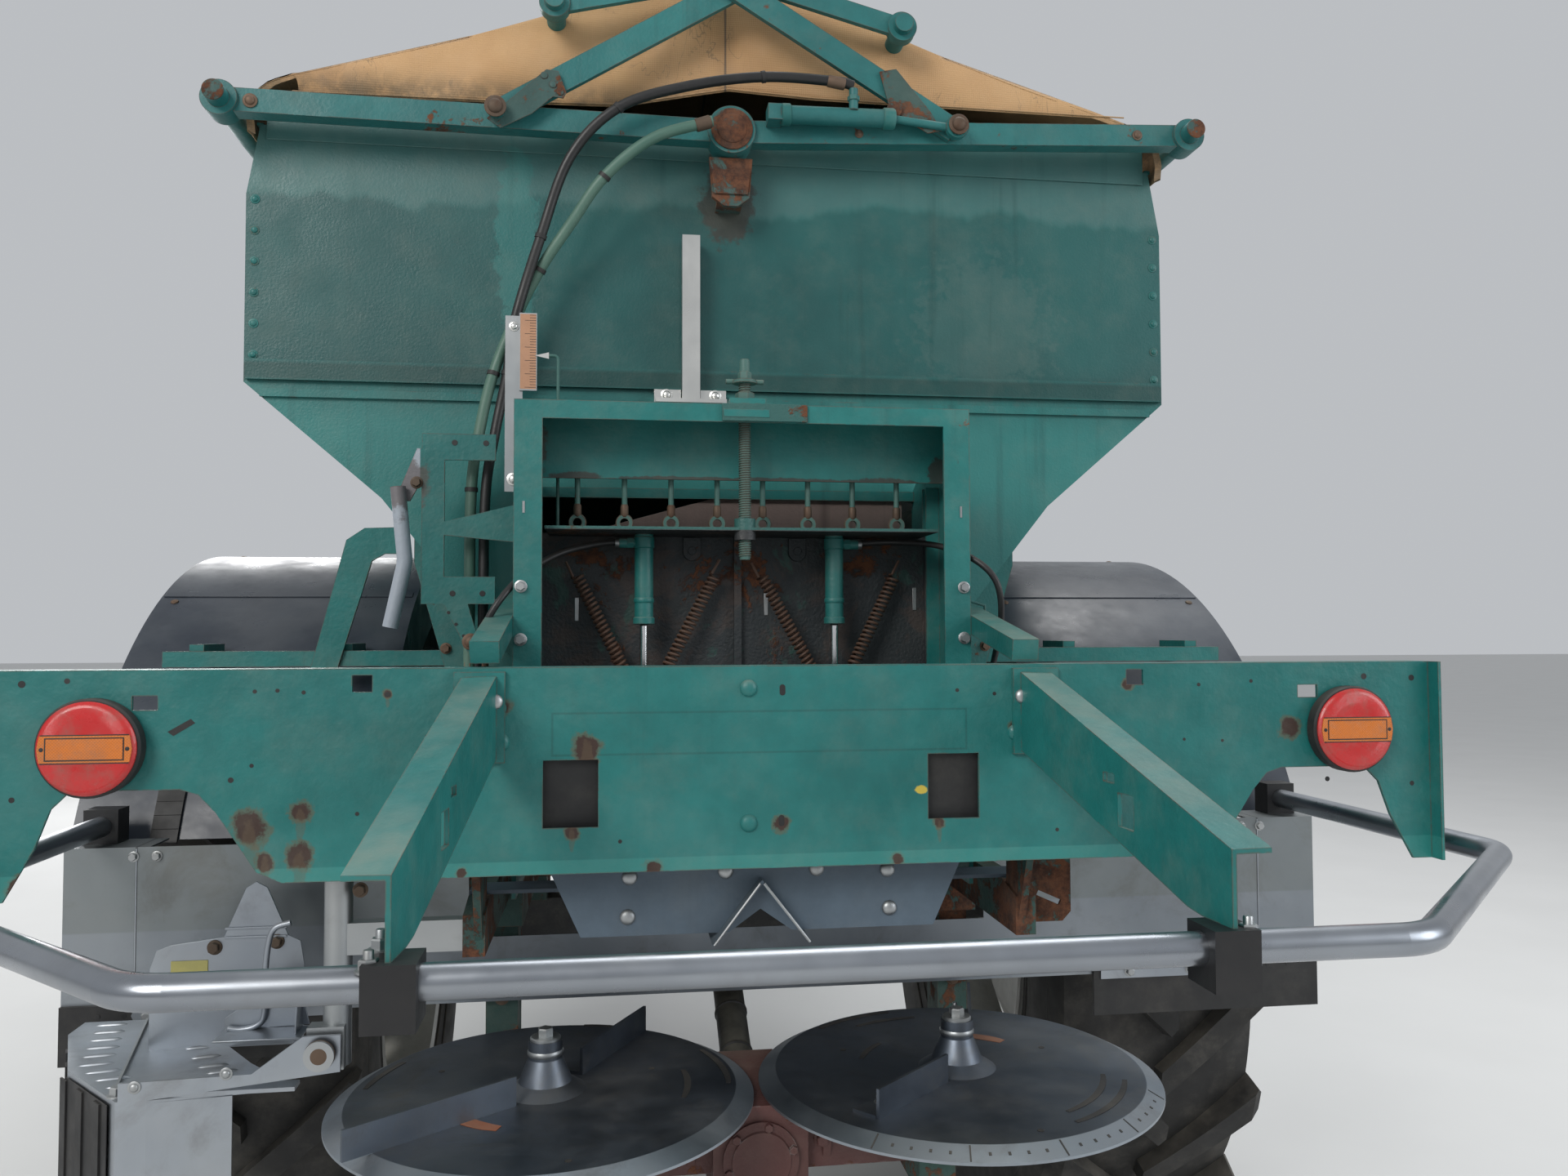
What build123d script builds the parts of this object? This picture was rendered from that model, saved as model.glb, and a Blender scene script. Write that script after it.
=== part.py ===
"""Trailed two-disc fertilizer spreader: hopper with a belt floor, rear gate, two spreading discs.

Millimetres. Z = 0 is the ground, +Y is the direction of travel and +X is the right-hand side.
The origin is on the ground, at mid-length, on the centre line.
Heights and distances at the rear are counted from the crossbar: at() gives a point from its
rear face (y) and its upper edge (z).
"""
from build123d import *
from math import atan2, cos, degrees, hypot, radians, sin, sqrt
import os

os.makedirs("parts", exist_ok=True)

# Whole machine
overall_length = 6700
overall_width = 2500        # over the mudguards
bar_top = 1600              # upper edge of the rear crossbar above the ground
guard_reach = 535           # crossbar's rear face to the middle of the guard tube
guard_d = 38                # guard tube
clamp_half = 32             # clamp block, half its length along the machine
front_y = overall_length / 2
bar_y = -front_y + guard_reach + clamp_half
joint_gap = 0.1             # running clearance of a shaft in its bore, on the radius
seat = 0.3                  # clearance of a soft or curved piece from its seat

# Rear crossbar
bar_half = 1108
bar_height = 306
bar_plate = 5
bar_flange = 60
bar_lip = 40
leg_drop = 322
end_flange_back = 25

# Hopper
hopper_back = 635           # crossbar's rear face to the hopper's rear wall
hopper_length = 3835
hopper_wall = 5
hopper_half = 953
rim_half = 928
rim_z = 1060
bend_z = 920
shoulder_z = 546
knee_half, knee_z = 690, 320
outlet_half, outlet_z = 395, -50
window_top = 325            # upper edge of the outlet window in the rear wall

# Chassis and running gear
axle_back = 1530
wheel_radius = 875
tyre_width = 467
wheel_half_track = 967
rail_inner = 400
rail_width = 80
rail_top, rail_bottom = -370, -500
rail_rear = 100
rail_step = 500             # the rails are lower and narrower behind this place
rear_bar_x, rear_bar_width, rear_bar_height = 426, 34, 78
rail_front = 4546           # front end of the rails from the crossbar
axle_size = 130
spindle_r = 45

# Belt floor
belt_half = 350
belt_z = -100               # carrying run's upper face
belt_thick = 8
roller_r = 80
roller_back = 400           # rear roller's axis from the crossbar
roller_front = 4390

# Discs
disc_half_pitch = 336
disc_back = 143
disc_z = -670
disc_r = 330
vane_r = 345
shaft_r = 20


def at(x, back, z):
    """Point given from the crossbar's rear face and upper edge."""
    return (x, bar_y + back, bar_top + z)


def box(x0, x1, back0, back1, z0, z1):
    """Box between two corners, y and z given from the crossbar."""
    low, high = at(x0, back0, z0), at(x1, back1, z1)
    middle = [(a + b) / 2 for a, b in zip(low, high)]
    size = [abs(b - a) for a, b in zip(low, high)]
    return Pos(*middle) * Box(*size)


def across(points, back0, back1):
    """Outline of (x, z) points, extruded along the machine from back0 to back1."""
    face = make_face(Polyline(*points, close=True))
    return extrude(Plane(at(0, back1, 0), x_dir=(1, 0, 0), z_dir=(0, -1, 0)) * face, back1 - back0)


def along(points, x0, x1):
    """Outline of (back, z) points, extruded sideways from x0 to x1."""
    face = make_face(Polyline(*points, close=True))
    return extrude(Plane(at(x0, 0, 0), x_dir=(0, 1, 0), z_dir=(1, 0, 0)) * face, x1 - x0)


def flat(points, z0, z1):
    """Outline of (x, back) points, extruded upwards from z0 to z1."""
    face = make_face(Polyline(*points, close=True))
    return extrude(Plane(at(0, 0, z0)) * face, z1 - z0)


def band(points, gauge):
    """Closed outline of a strip of even thickness that follows points, on their left-hand side."""
    sides = []
    for (x0, y0), (x1, y1) in zip(points, points[1:]):
        length = hypot(x1 - x0, y1 - y0)
        sides.append((-(y1 - y0) / length, (x1 - x0) / length))
    inner = []
    for n, (x, y) in enumerate(points):
        before, after = sides[max(n - 1, 0)], sides[min(n, len(sides) - 1)]
        reach = gauge / (1 + before[0] * after[0] + before[1] * after[1])
        inner.append((x + (before[0] + after[0]) * reach, y + (before[1] + after[1]) * reach))
    return list(points) + inner[::-1]


def rod(start, end, radius, bore=0):
    """Round bar or tube between two points given from the crossbar."""
    a, b = Vector(*at(*start)), Vector(*at(*end))
    plane = Plane(origin=a, z_dir=b - a)
    section = Circle(radius) - Circle(bore) if bore else Circle(radius)
    return extrude(plane * section, (b - a).length)


def beam(start, end, width, height):
    """Box section between two points, its width level, square to its own line."""
    a, b = Vector(*at(*start)), Vector(*at(*end))
    line = b - a
    side = Vector(line.Y, -line.X, 0) if hypot(line.X, line.Y) > 1 else Vector(1, 0, 0)
    return extrude(Plane(origin=a, x_dir=side, z_dir=line) * Rectangle(width, height), line.length)


def pipe(points, radius, bends):
    """Round bar bent along points given from the crossbar."""
    path = FilletPolyline(*[at(*p) for p in points], radius=bends)
    return sweep(Plane(origin=path @ 0, z_dir=path % 0) * Circle(radius), path=path)


def both(shape):
    """The shape and its mirror image on the other side of the machine."""
    return Compound(children=[*shape.solids(), *mirror(shape, about=Plane.YZ).solids()])


def left(shape):
    return mirror(shape, about=Plane.YZ)


def both_ends(shapes):
    return Compound(children=[shape.solid() for shape in shapes])


def together(*shapes):
    """Separate pieces of one kind kept in one node."""
    return Compound(children=[solid for shape in shapes for solid in shape.solids()])


def save(name, shape):
    export_step(Compound(children=list(shape.solids())), f"parts/{name}.step")


# Rear crossbar: a pressed plate with a top flange, a bottom lip and a leg at each end.
# Lower edge of one half: distance in from the end, drop from the top.
notch = [(38, leg_drop), (78, 250), (98, 195), (123, 170), (268, 170), (293, 178), (318, 205), (373, 290),
         (408, bar_height)]
# Openings of one half: x, z, width, height.
bar_holes = [(293, -188, 81, 100), (592, -22, 28, 24), (888, -47, 34, 20)]


def crossbar():
    half = [(bar_half, 0), (bar_half, -leg_drop), *[(bar_half - x, -z) for x, z in notch]]
    outline = half + [(-x, z) for x, z in reversed(half)]
    bar = across(outline, 0, bar_plate)
    for x, z, width, height in bar_holes:
        for side in (-1, 1):
            bar -= box(side * x - width / 2, side * x + width / 2, -1, bar_plate + 1, z - height / 2, z + height / 2)
    lip_half = bar_half - notch[-1][0]
    bar += box(-bar_half, bar_half, 0, bar_flange, -bar_plate, 0)
    bar += box(-lip_half, lip_half, 0, bar_lip, -bar_height, bar_plate - bar_height)
    for side in (-1, 1):
        x = side * (bar_half - bar_plate / 2)
        bar += box(x - bar_plate / 2, x + bar_plate / 2, -end_flange_back, bar_flange, -leg_drop, 0)
    return bar


# Round rear lamp on the crossbar
lamp_r = 70
lamp_x, lamp_z = 953, -108
lamp_depth = 34


def lamp(side):
    housing = rod((side * lamp_x, 0, lamp_z), (side * lamp_x, -lamp_depth + 10, lamp_z), lamp_r)
    lens = rod((side * lamp_x, -lamp_depth + 10, lamp_z), (side * lamp_x, -lamp_depth, lamp_z), lamp_r - 6)
    return housing + lens


# Guard tube, its two arms and the clamps
shield_inset = 40           # mudguard's outer edge to the shield's end
arm_root_x, arm_end_x = 400, 445
arm_web = 6
arm_flange = 50
guard_z = -303
guard_corner_x, guard_corner_back = 700, -78
guard_inset = 45            # guard tube's side runs to the shield's end
guard_side_x = overall_width / 2 - shield_inset - guard_inset
guard_end_back = 600
guard_bend = 90
clamp_top = -277
clamp_bottom = -345
end_clamp_length = 50
arm_top_root, arm_top_end = -12, -190
# Cuts in the arm's web: place from the crossbar, height, length, height of the cut
arm_cuts = [(-328, -183, 40, 44), (-284, -144, 30, 12)]


def guard_arm():
    tip = -guard_reach - 25
    web = along([(-6, arm_top_root), (-6, -135), (-470, clamp_top + 4), (-500, clamp_top), (tip, clamp_top),
                 (tip, arm_top_end)], arm_root_x, arm_root_x + arm_web)
    for back, z, length, height in arm_cuts:
        web -= box(arm_root_x - 1, arm_root_x + arm_web + 1, back - length / 2, back + length / 2, z - height / 2,
                   z + height / 2)
    top = along([(-6, arm_top_root), (-6, arm_top_root - arm_web), (tip, arm_top_end - arm_web), (tip, arm_top_end)],
                arm_root_x, arm_root_x + arm_flange)
    turn = degrees(atan2(arm_end_x - arm_root_x, guard_reach))
    arm = (web + top).rotate(Axis(at(arm_root_x, 0, 0), (0, 0, 1)), turn)
    return arm + box(arm_root_x - 12, arm_root_x + 62, -8, 0, -140, -6)


def guard_tube():
    half = [(guard_side_x, guard_end_back, guard_z), (guard_side_x, guard_corner_back, guard_z),
            (guard_corner_x, -guard_reach, guard_z)]
    return pipe(half + [(-x, y, z) for x, y, z in reversed(half)], guard_d / 2, guard_bend)


def tube_clamps():
    """Block under each arm's tip, bored for the tube."""
    x = arm_end_x + arm_web / 2
    block = box(x - 27, x + 27, -guard_reach - clamp_half, -guard_reach + clamp_half, clamp_bottom, clamp_top)
    block -= rod((x - 40, -guard_reach, guard_z), (x + 40, -guard_reach, guard_z), guard_d / 2 + joint_gap)
    return both(block)


def end_clamps():
    """Block that holds each end of the guard tube on the shield's lip."""
    rear = guard_end_back - end_clamp_length
    block = box(guard_side_x - 30, guard_side_x + 30, rear, guard_end_back, shield_top, clamp_top + 5)
    block -= rod((guard_side_x, rear - 10, guard_z), (guard_side_x, guard_end_back + 10, guard_z),
                 guard_d / 2 + joint_gap)
    return both(block)


# Spray shield across the back of the wheels
shield_back = 510
shield_plate = 3
shield_half = overall_width / 2 - shield_inset
shield_top, shield_bottom = -335, -640
shield_cut_half, shield_cut_z = 500, -520
strip_drop = 80


def shield():
    half = [(shield_half, shield_bottom), (shield_half, shield_top), (shield_cut_half + 40, shield_top),
            (shield_cut_half, shield_top - 60), (shield_cut_half, shield_cut_z)]
    plate = across(half + [(-x, z) for x, z in reversed(half)], shield_back, shield_back + shield_plate)
    lip = box(guard_side_x - 100, shield_half, shield_back, guard_end_back + 5, shield_top - shield_plate, shield_top)
    return plate + lip + left(lip)


def shield_strips():
    """Rubber strips under the shield, outside the discs."""
    inner = disc_half_pitch + disc_r + 60
    return both(box(inner, shield_half, shield_back - 8, shield_back, shield_bottom - strip_drop, shield_bottom + 25))


# Hopper walls
def wall_profile(grow=0):
    """Outer line of the hopper's right-hand wall, from the rim down to the outlet."""
    return [(rim_half + grow, rim_z), (hopper_half + grow, bend_z), (hopper_half + grow, shoulder_z),
            (knee_half + grow, knee_z - grow / 2), (outlet_half + grow, outlet_z - grow / 2)]


hopper_front = hopper_back + hopper_length


def hopper_side():
    """One side wall with its rolled rim and the two pressed beads."""
    outer = wall_profile()
    inner = wall_profile(-hopper_wall)
    wall = across(outer + inner[::-1], hopper_back + hopper_wall, hopper_front - hopper_wall)
    rim = box(rim_half - hopper_wall, rim_half + 8, hopper_back + hopper_wall, hopper_front - hopper_wall, rim_z,
              rim_z + 6)
    return wall + rim


def end_outline():
    half = wall_profile()
    return half + [(-x, z) for x, z in reversed(half)]


def end_beads(back, out):
    """Two level pressings across an end wall: height, depth out of the wall, width up and down."""
    beads = []
    for z, depth, height in ((570, 12, 40), (525, 8, 16)):
        half = hopper_half - 6 if z > shoulder_z else hopper_half - 32
        beads.append(box(-half, half, back, back + out * depth, z - height / 2, z + height / 2))
    return beads


def hopper_rear():
    wall = across(end_outline(), hopper_back, hopper_back + hopper_wall)
    wall -= box(-duct_half, duct_half, hopper_back - 1, hopper_back + hopper_wall + 1, outlet_z - 1, window_top)
    for bead in end_beads(hopper_back, -1):
        wall += bead
    return wall


def hopper_front_wall():
    wall = across(end_outline(), hopper_front - hopper_wall, hopper_front)
    for bead in end_beads(hopper_front, 1):
        wall += bead
    for x in (-460, 0, 460):
        wall += box(x - 30, x + 30, hopper_front, hopper_front + 35, knee_z, rim_z - 40)
    return wall


saddle_plate = 10
saddle_places = [720, 1400, 2150, 2900, 3650, 4300]


def hopper_saddles():
    """Gusset plates that carry the sloping walls on the rails."""
    slope = (knee_z - outlet_z) / (knee_half - outlet_half)
    top_x = 640
    top_z = outlet_z + (top_x - outlet_half) * slope
    gusset = [(rail_inner + 4, rail_top), (rail_inner + rail_width - 4, rail_top), (top_x, top_z - 60),
              (top_x, top_z - seat), (rail_inner + 4, outlet_z + (rail_inner + 4 - outlet_half) * slope - seat)]
    plates = [across(gusset, back, back + saddle_plate) for back in saddle_places]
    return both(Compound(children=[p.solid() for p in plates]))


# Chassis: two rails, cross members, the plates that carry the crossbar, and the axle seats
cross_places = [900, 2150, 3400]


def side_plate_bracket():
    """Slotted plate across the end of the right-hand rail."""
    back = rail_rear + 50
    plate = across([(bracket_x, -300), (bracket_x + 85, -300), (bracket_x + 85, -424), (bracket_x + 70, -440),
                    (bracket_x, -440)], back, back + 6)
    slot = Pos(*at(bracket_x + 46, back + 3, -400)) * Box(44, 20, 9).rotate(Axis.Y, 24)
    return plate - slot


bracket_x = rear_bar_x + rear_bar_width - 5


def chassis():
    rail_outer = rail_inner + rail_width
    rear_bottom = rail_top - rear_bar_height
    frame = box(rail_inner, rail_outer, rail_step, rail_front, rail_bottom, rail_top)
    frame += along([(rail_rear, rear_bottom), (rail_step, rear_bottom), (rail_step, rail_top), (rail_rear + 70, rail_top),
                    (rail_rear, rail_top - 15)], rear_bar_x, rear_bar_x + rear_bar_width)
    frame += along([(bar_plate, -12), (bar_plate, -298), (bar_lip + 10, -298), (rail_rear + 10, rear_bottom),
                    (rail_rear + 60, rear_bottom), (rail_rear + 60, -200), (60, -12)], rear_bar_x + 4, rear_bar_x + 16)
    frame += box(rail_inner, rail_inner + 60, bar_plate, bar_plate + 8, -298, -20)
    frame += box(rail_outer, shield_cut_half + 120, shield_back + shield_plate, shield_back + shield_plate + 8, -490,
                 -400)
    frame += box(rail_inner + 10, rail_outer - 10, axle_back - 90, axle_back + 90, axle_z + axle_size / 2, rail_bottom)
    frame += left(frame)
    for back in cross_places:
        frame += box(-rail_inner, rail_inner, back - 40, back + 40, rail_bottom + 20, rail_top - 30)
    frame += box(-rail_inner, rail_inner, rail_front - 80, rail_front, rail_bottom, rail_top - 30)
    return frame + side_plate_bracket()


# Axle, hubs and wheels
axle_z = wheel_radius - bar_top
axle_half = 620
spindle_end = 930
wheel_disc_x = wheel_half_track - 70


def axle():
    body = box(-axle_half, axle_half, axle_back - axle_size / 2, axle_back + axle_size / 2,
               axle_z - axle_size / 2, axle_z + axle_size / 2)
    for side in (-1, 1):
        body += rod((side * axle_half, axle_back, axle_z), (side * spindle_end, axle_back, axle_z), spindle_r)
        body += rod((side * axle_half, axle_back, axle_z), (side * (axle_half + 20), axle_back, axle_z), 110)
    return body


rim_seat_r = 485
rim_gauge = 8
hub_r = 115
hub_inner, hub_outer = 830, 1000
stud_circle_r = 160
hand_hole_r = 36
hand_holes = 8


def turned(points):
    """Ring turned about the axle from (x, radius) points."""
    face = make_face(Polyline(*points, close=True))
    plane = Plane(at(0, axle_back, axle_z), x_dir=(1, 0, 0), z_dir=(0, -1, 0))
    return revolve(plane * face, Axis(at(0, axle_back, axle_z), (1, 0, 0)), 360)


def rim():
    """Right-hand rim: flanged bed, dished disc with hand holes, and the hub in its middle."""
    half = tyre_width / 2 - 18
    x0, x1 = wheel_half_track - half, wheel_half_track + half
    seat_r = rim_seat_r - seat
    ring = turned([(x0, seat_r + 14), (x0 + 8, seat_r + 14), (x0 + 14, seat_r), (x1 - 14, seat_r), (x1 - 8, seat_r + 14),
                   (x1, seat_r + 14), (x1 - 6, seat_r - rim_gauge), (x0 + 6, seat_r - rim_gauge)])
    disc = turned([(wheel_disc_x + 60, seat_r - rim_gauge), (wheel_disc_x, 320), (wheel_disc_x, hub_r),
                   (wheel_disc_x + 12, hub_r), (wheel_disc_x + 12, 316), (wheel_disc_x + 74, seat_r - rim_gauge)])
    for n in range(hand_holes):
        angle = radians(360 / hand_holes * (n + 0.5))
        y, z = 395 * cos(angle), 395 * sin(angle)
        disc -= rod((wheel_disc_x - 50, axle_back + y, axle_z + z), (wheel_disc_x + 100, axle_back + y, axle_z + z),
                    hand_hole_r)
    return ring + disc


def hub():
    bore_r = spindle_r + joint_gap
    return turned([(hub_inner, bore_r), (hub_inner, hub_r - 20), (wheel_disc_x - 15, hub_r - 10),
                   (wheel_disc_x - 15, stud_circle_r + 30), (wheel_disc_x, stud_circle_r + 30),
                   (wheel_disc_x, hub_r), (hub_outer - 40, hub_r - 5), (hub_outer - 40, 70), (hub_outer, 62),
                   (hub_outer, 0), (spindle_end + 5, 0), (spindle_end + 5, bore_r)])


lug_height = 39
carcass_r = wheel_radius - lug_height
sidewall_r = 650
tyre_gauge = 32
lugs_a_side = 20
lug_width = 50
lug_lean = 42               # degrees between a lug and the axle line


def carcass():
    """Hollow tyre casing."""
    half = tyre_width / 2
    bead, shoulder = half - 44, half - 14
    gauge = tyre_gauge
    x = wheel_half_track
    plane = Plane(at(0, axle_back, axle_z), x_dir=(1, 0, 0), z_dir=(0, -1, 0))
    out_side = ThreePointArc((x + bead, rim_seat_r), (x + half, sidewall_r), (x + shoulder, carcass_r - 26))
    crown = ThreePointArc((x + shoulder, carcass_r - 26), (x, carcass_r), (x - shoulder, carcass_r - 26))
    back_side = ThreePointArc((x - shoulder, carcass_r - 26), (x - half, sidewall_r), (x - bead, rim_seat_r))
    in_back = ThreePointArc((x - bead + gauge, rim_seat_r), (x - half + gauge, sidewall_r),
                            (x - shoulder + gauge, carcass_r - 26 - gauge))
    in_side = ThreePointArc((x + shoulder - gauge, carcass_r - 26 - gauge), (x + half - gauge, sidewall_r),
                            (x + bead - gauge, rim_seat_r))
    lines = [out_side, crown, back_side, Line(back_side @ 1, in_back @ 0), in_back, Line(in_back @ 1, in_side @ 0),
             in_side, Line(in_side @ 1, out_side @ 0)]
    return revolve(plane * make_face(lines), Axis(at(0, axle_back, axle_z), (1, 0, 0)), 360)


def lug(side):
    """One bar of the tread at the top of the wheel, from the shoulder past the middle."""
    half = tyre_width / 2
    depth = wheel_radius - carcass_r + 34
    reach = (half + 14) / cos(radians(lug_lean)) + 10
    bar = Box(reach, lug_width, depth)
    bar = bar.rotate(Axis.Z, side * lug_lean)
    bar = Pos(side * (half - 14) / 2, -half / 2 * 0.9, 0) * bar
    bar &= Pos(side * (half / 2 - 9), 0, 0) * Box(half + 14, 4 * half, depth)
    place = at(wheel_half_track, axle_back, axle_z + wheel_radius - depth / 2)
    return Pos(*place) * bar


def tyre():
    casing = carcass()
    tread_limit = turned([(wheel_half_track - tyre_width / 2, carcass_r - 60),
                          (wheel_half_track - tyre_width / 2, wheel_radius - 16),
                          (wheel_half_track - tyre_width / 2 + 22, wheel_radius),
                          (wheel_half_track + tyre_width / 2 - 22, wheel_radius),
                          (wheel_half_track + tyre_width / 2, wheel_radius - 16),
                          (wheel_half_track + tyre_width / 2, carcass_r - 60)])
    axis = Axis(at(0, axle_back, axle_z), (1, 0, 0))
    pitch = 360 / lugs_a_side
    lugs = []
    for side, start in ((1, 180), (-1, 180 + pitch / 2)):
        first = (lug(side) & tread_limit).solid()
        lugs += [first.rotate(axis, start + n * pitch) for n in range(lugs_a_side)]
    return casing.solid().fuse(*lugs)


# Mudguards
guard_sheet_r = 980
guard_sheet = 6
mudguard_inner, mudguard_outer = 690, overall_width / 2
mudguard_skirt = 150
mudguard_lip = 30
mudguard_rear_angle, mudguard_front_angle = 157, 25


def mudguard():
    """Curved sheet about the axle, with an inner skirt and an outer lip."""
    x0, x1, r, t = mudguard_inner, mudguard_outer, guard_sheet_r, guard_sheet
    section = [(x0, r), (x1, r), (x1, r - mudguard_lip), (x1 - t, r - mudguard_lip), (x1 - t, r - t), (x0 + t, r - t),
               (x0 + t, r - mudguard_skirt), (x0, r - mudguard_skirt)]
    face = make_face(Polyline(*section, close=True))
    plane = Plane(at(0, axle_back, axle_z), x_dir=(1, 0, 0), z_dir=(0, -1, 0))
    axis = Axis(at(0, axle_back, axle_z), (1, 0, 0))
    top = revolve(plane * face, axis, mudguard_rear_angle - mudguard_front_angle)
    return top.rotate(axis, -(90 - mudguard_front_angle))


stay_back = 750
stay_z = 0
stay_size = 32


def mudguard_stays():
    """Cross bar and post that carry each mudguard, behind and ahead of the axle."""
    x_post = rail_inner + rail_width - 14
    stays = []
    for back in (stay_back, 2 * axle_back - stay_back):
        bar = box(x_post - 14, mudguard_outer - 120, back - stay_size / 2, back + stay_size / 2, stay_z - stay_size / 2,
                  stay_z + stay_size / 2)
        bar += box(x_post - 14, x_post + 14, back - stay_size / 2, back + stay_size / 2, rail_top, stay_z)
        out = 1 if back < axle_back else -1
        edge = axle_back - out * sqrt(guard_sheet_r ** 2 - (stay_z + 6 - axle_z) ** 2)
        for x in (mudguard_inner + 90, mudguard_outer - 180):
            inner, outer = sorted((back, edge - out * seat))
            bar += box(x - 14, x + 14, inner, outer, stay_z + 6, stay_z + 30)
        stays.append(bar)
    return both(Compound(children=[s.solid() for s in stays]))


def arch_bracket():
    """Curved flat bar from the left mudguard's cross bar to the hopper."""
    outer = [(-843, -18), (-776, 243), (-740, 268), (-655, 271)]
    inner = [(-655, 215), (-700, 215), (-725, 200), (-790, -18)]
    return across(outer + inner, stay_back - stay_size / 2 - 8, stay_back - stay_size / 2)


# Belt floor
def belt():
    outer_r = roller_r + belt_thick
    z = belt_z - outer_r
    slot_length = roller_front - roller_back
    middle = at(0, (roller_back + roller_front) / 2, z)
    plane = Plane(middle, x_dir=(0, 1, 0), z_dir=(1, 0, 0))
    ring = SlotCenterToCenter(slot_length, 2 * outer_r) - SlotCenterToCenter(slot_length, 2 * (roller_r + seat))
    return extrude(plane * ring, belt_half, both=True)


def belt_rollers():
    z = belt_z - belt_thick - roller_r
    rollers = []
    for back in (roller_back, roller_front):
        roller = rod((-belt_half - 10, back, z), (belt_half + 10, back, z), roller_r)
        roller += rod((1 - rail_inner + side_plate, back, z), (rail_inner - side_plate - 1, back, z), 25)
        rollers.append(roller)
    return rollers[0] + rollers[1]


side_plate = 8
duct_half = rail_inner - side_plate


def belt_frame():
    """Side plates beside the belt, the bed under its carrying run and the closing front plate."""
    low = rail_top - 25
    frame = box(duct_half, rail_inner, hopper_back, hopper_front + 60, low, outlet_z)
    frame += left(frame)
    frame += box(-duct_half, duct_half, roller_back + 120, roller_front - 120, belt_z - belt_thick - 8,
                 belt_z - belt_thick - seat)
    frame += box(-duct_half, duct_half, hopper_front + 52, hopper_front + 60, low, outlet_z)
    return frame


# Gate frame behind the hopper: duct sides, top member, guides
gate_rear = 250
gate_top = 450
upright_flange = 40
web_back = 360
web_z = 330
gate_back = 440
gate_plate_t = 6
guide_gap = 6
guide_t = 6
guide_width = 26


def gate_frame():
    """Two sides with their guides, the folded top member and the window's header."""
    low = rail_top - 25
    side = along([(gate_rear, low), (hopper_back, low), (hopper_back, window_top + 20), (430, gate_top),
                  (gate_rear, gate_top)], duct_half, rail_inner)
    side += box(duct_half - upright_flange, rail_inner, gate_rear, gate_rear + 6, belt_z, gate_top)
    for back in (gate_back - guide_gap - guide_t, gate_back + gate_plate_t + guide_gap):
        side += box(duct_half - guide_width, duct_half, back, back + guide_t, belt_z + 10, web_z)
    half = duct_half
    top = box(-half, half, gate_rear + 6, gate_back - 20, gate_top - 6, gate_top)
    top += box(upright_flange - half, half - upright_flange, gate_rear, gate_rear + 6, gate_top - 32, gate_top)
    top += box(-half, half, web_back, web_back + 6, web_z, gate_top)
    top += box(-32, 32, gate_rear - 4, gate_rear + 90, gate_top, gate_top + 10)
    top -= rod((0, screw_back, gate_top - 20), (0, screw_back, gate_top + 20), screw_r + seat)
    header = box(-half, half, hopper_back - 14, hopper_back, window_top, window_top + 20)
    return together(side, left(side), top, header)


screw_back = 300
screw_r = 10
screw_top, screw_bottom = 540, 180


def gate_screw():
    """Threaded spindle with its collar and crank head."""
    screw = rod((0, screw_back, screw_bottom), (0, screw_back, screw_top), screw_r)
    screw += rod((0, screw_back, gate_top + 10 + seat), (0, screw_back, gate_top + 30), 18)
    screw += rod((0, screw_back, 495), (0, screw_back, 503), 22)
    return screw


def frame_struts():
    """Box struts from the crossbar's top flange to the duct sides."""
    x = rail_inner + seat + 22
    strut = beam((x, 30, 22), (x, 560, 120), 44, 34)
    return both(strut & box(x - 30, x + 30, 12, 545, 0, 200))


# Sliding gate with its eyebolts, and the two hydraulic shutters on it
gate_low, gate_high = -40, 237
flange_t = 6
gate_flange_rear = 284
eyebolt_pitch = 85
eyebolt_back = 386
eyebolt_top = 352
cylinder_x = 177
cylinder_back = 385
cylinder_r = 17
cylinder_low = 70
piston_r = 7
cylinder_cap = 6
shutter_travel = 100
shutter_back = 416
shutter_low, shutter_high = -94, -15
spring_r = 12
# Springs of one shutter: x at the top, x at the bottom
spring_ends = [(313, 190), (30, 160)]
spring_top, spring_low = 184, -62


def gate_plate():
    gate = box(-duct_half + 6, duct_half - 6, gate_back, gate_back + gate_plate_t, gate_low, gate_high)
    gate += box(-350, 350, gate_flange_rear, gate_back, gate_high - flange_t, gate_high)
    gate += box(-7, 7, gate_back - 12, gate_back, gate_low, gate_high - flange_t)
    gate += rod((0, screw_back, gate_high - 22), (0, screw_back, gate_high + 16), 19)
    return gate - rod((0, screw_back, gate_high - 40), (0, screw_back, gate_high + 30), screw_r + seat)


def eyebolts():
    """Eight rods, each with an eye that stands on the gate's flange."""
    bolts = []
    for n in range(8):
        x = (n - 3.5) * eyebolt_pitch
        bolt = rod((x, eyebolt_back, gate_high + 24), (x, eyebolt_back, eyebolt_top), 5)
        bolt += rod((x, eyebolt_back - 5, gate_high + 15), (x, eyebolt_back + 5, gate_high + 15), 15, 8)
        bolts.append(bolt.solid())
    return Compound(children=bolts)


def gate_pointer():
    """Bent wire on the gate that reads on the scale."""
    return pipe([(-335, 425, gate_high), (-335, 425, 566), (-352, 425, 566)], 3, 8)


def cylinder():
    top = gate_high - flange_t
    body = rod((cylinder_x, cylinder_back, cylinder_low), (cylinder_x, cylinder_back, top), cylinder_r,
               piston_r + joint_gap)
    body += rod((cylinder_x, cylinder_back, top - cylinder_cap), (cylinder_x, cylinder_back, top), cylinder_r)
    side = rod((cylinder_x + piston_r + 2, cylinder_back, top - 16), (cylinder_x + 45, cylinder_back, top - 16), 9)
    return body + side


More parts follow.
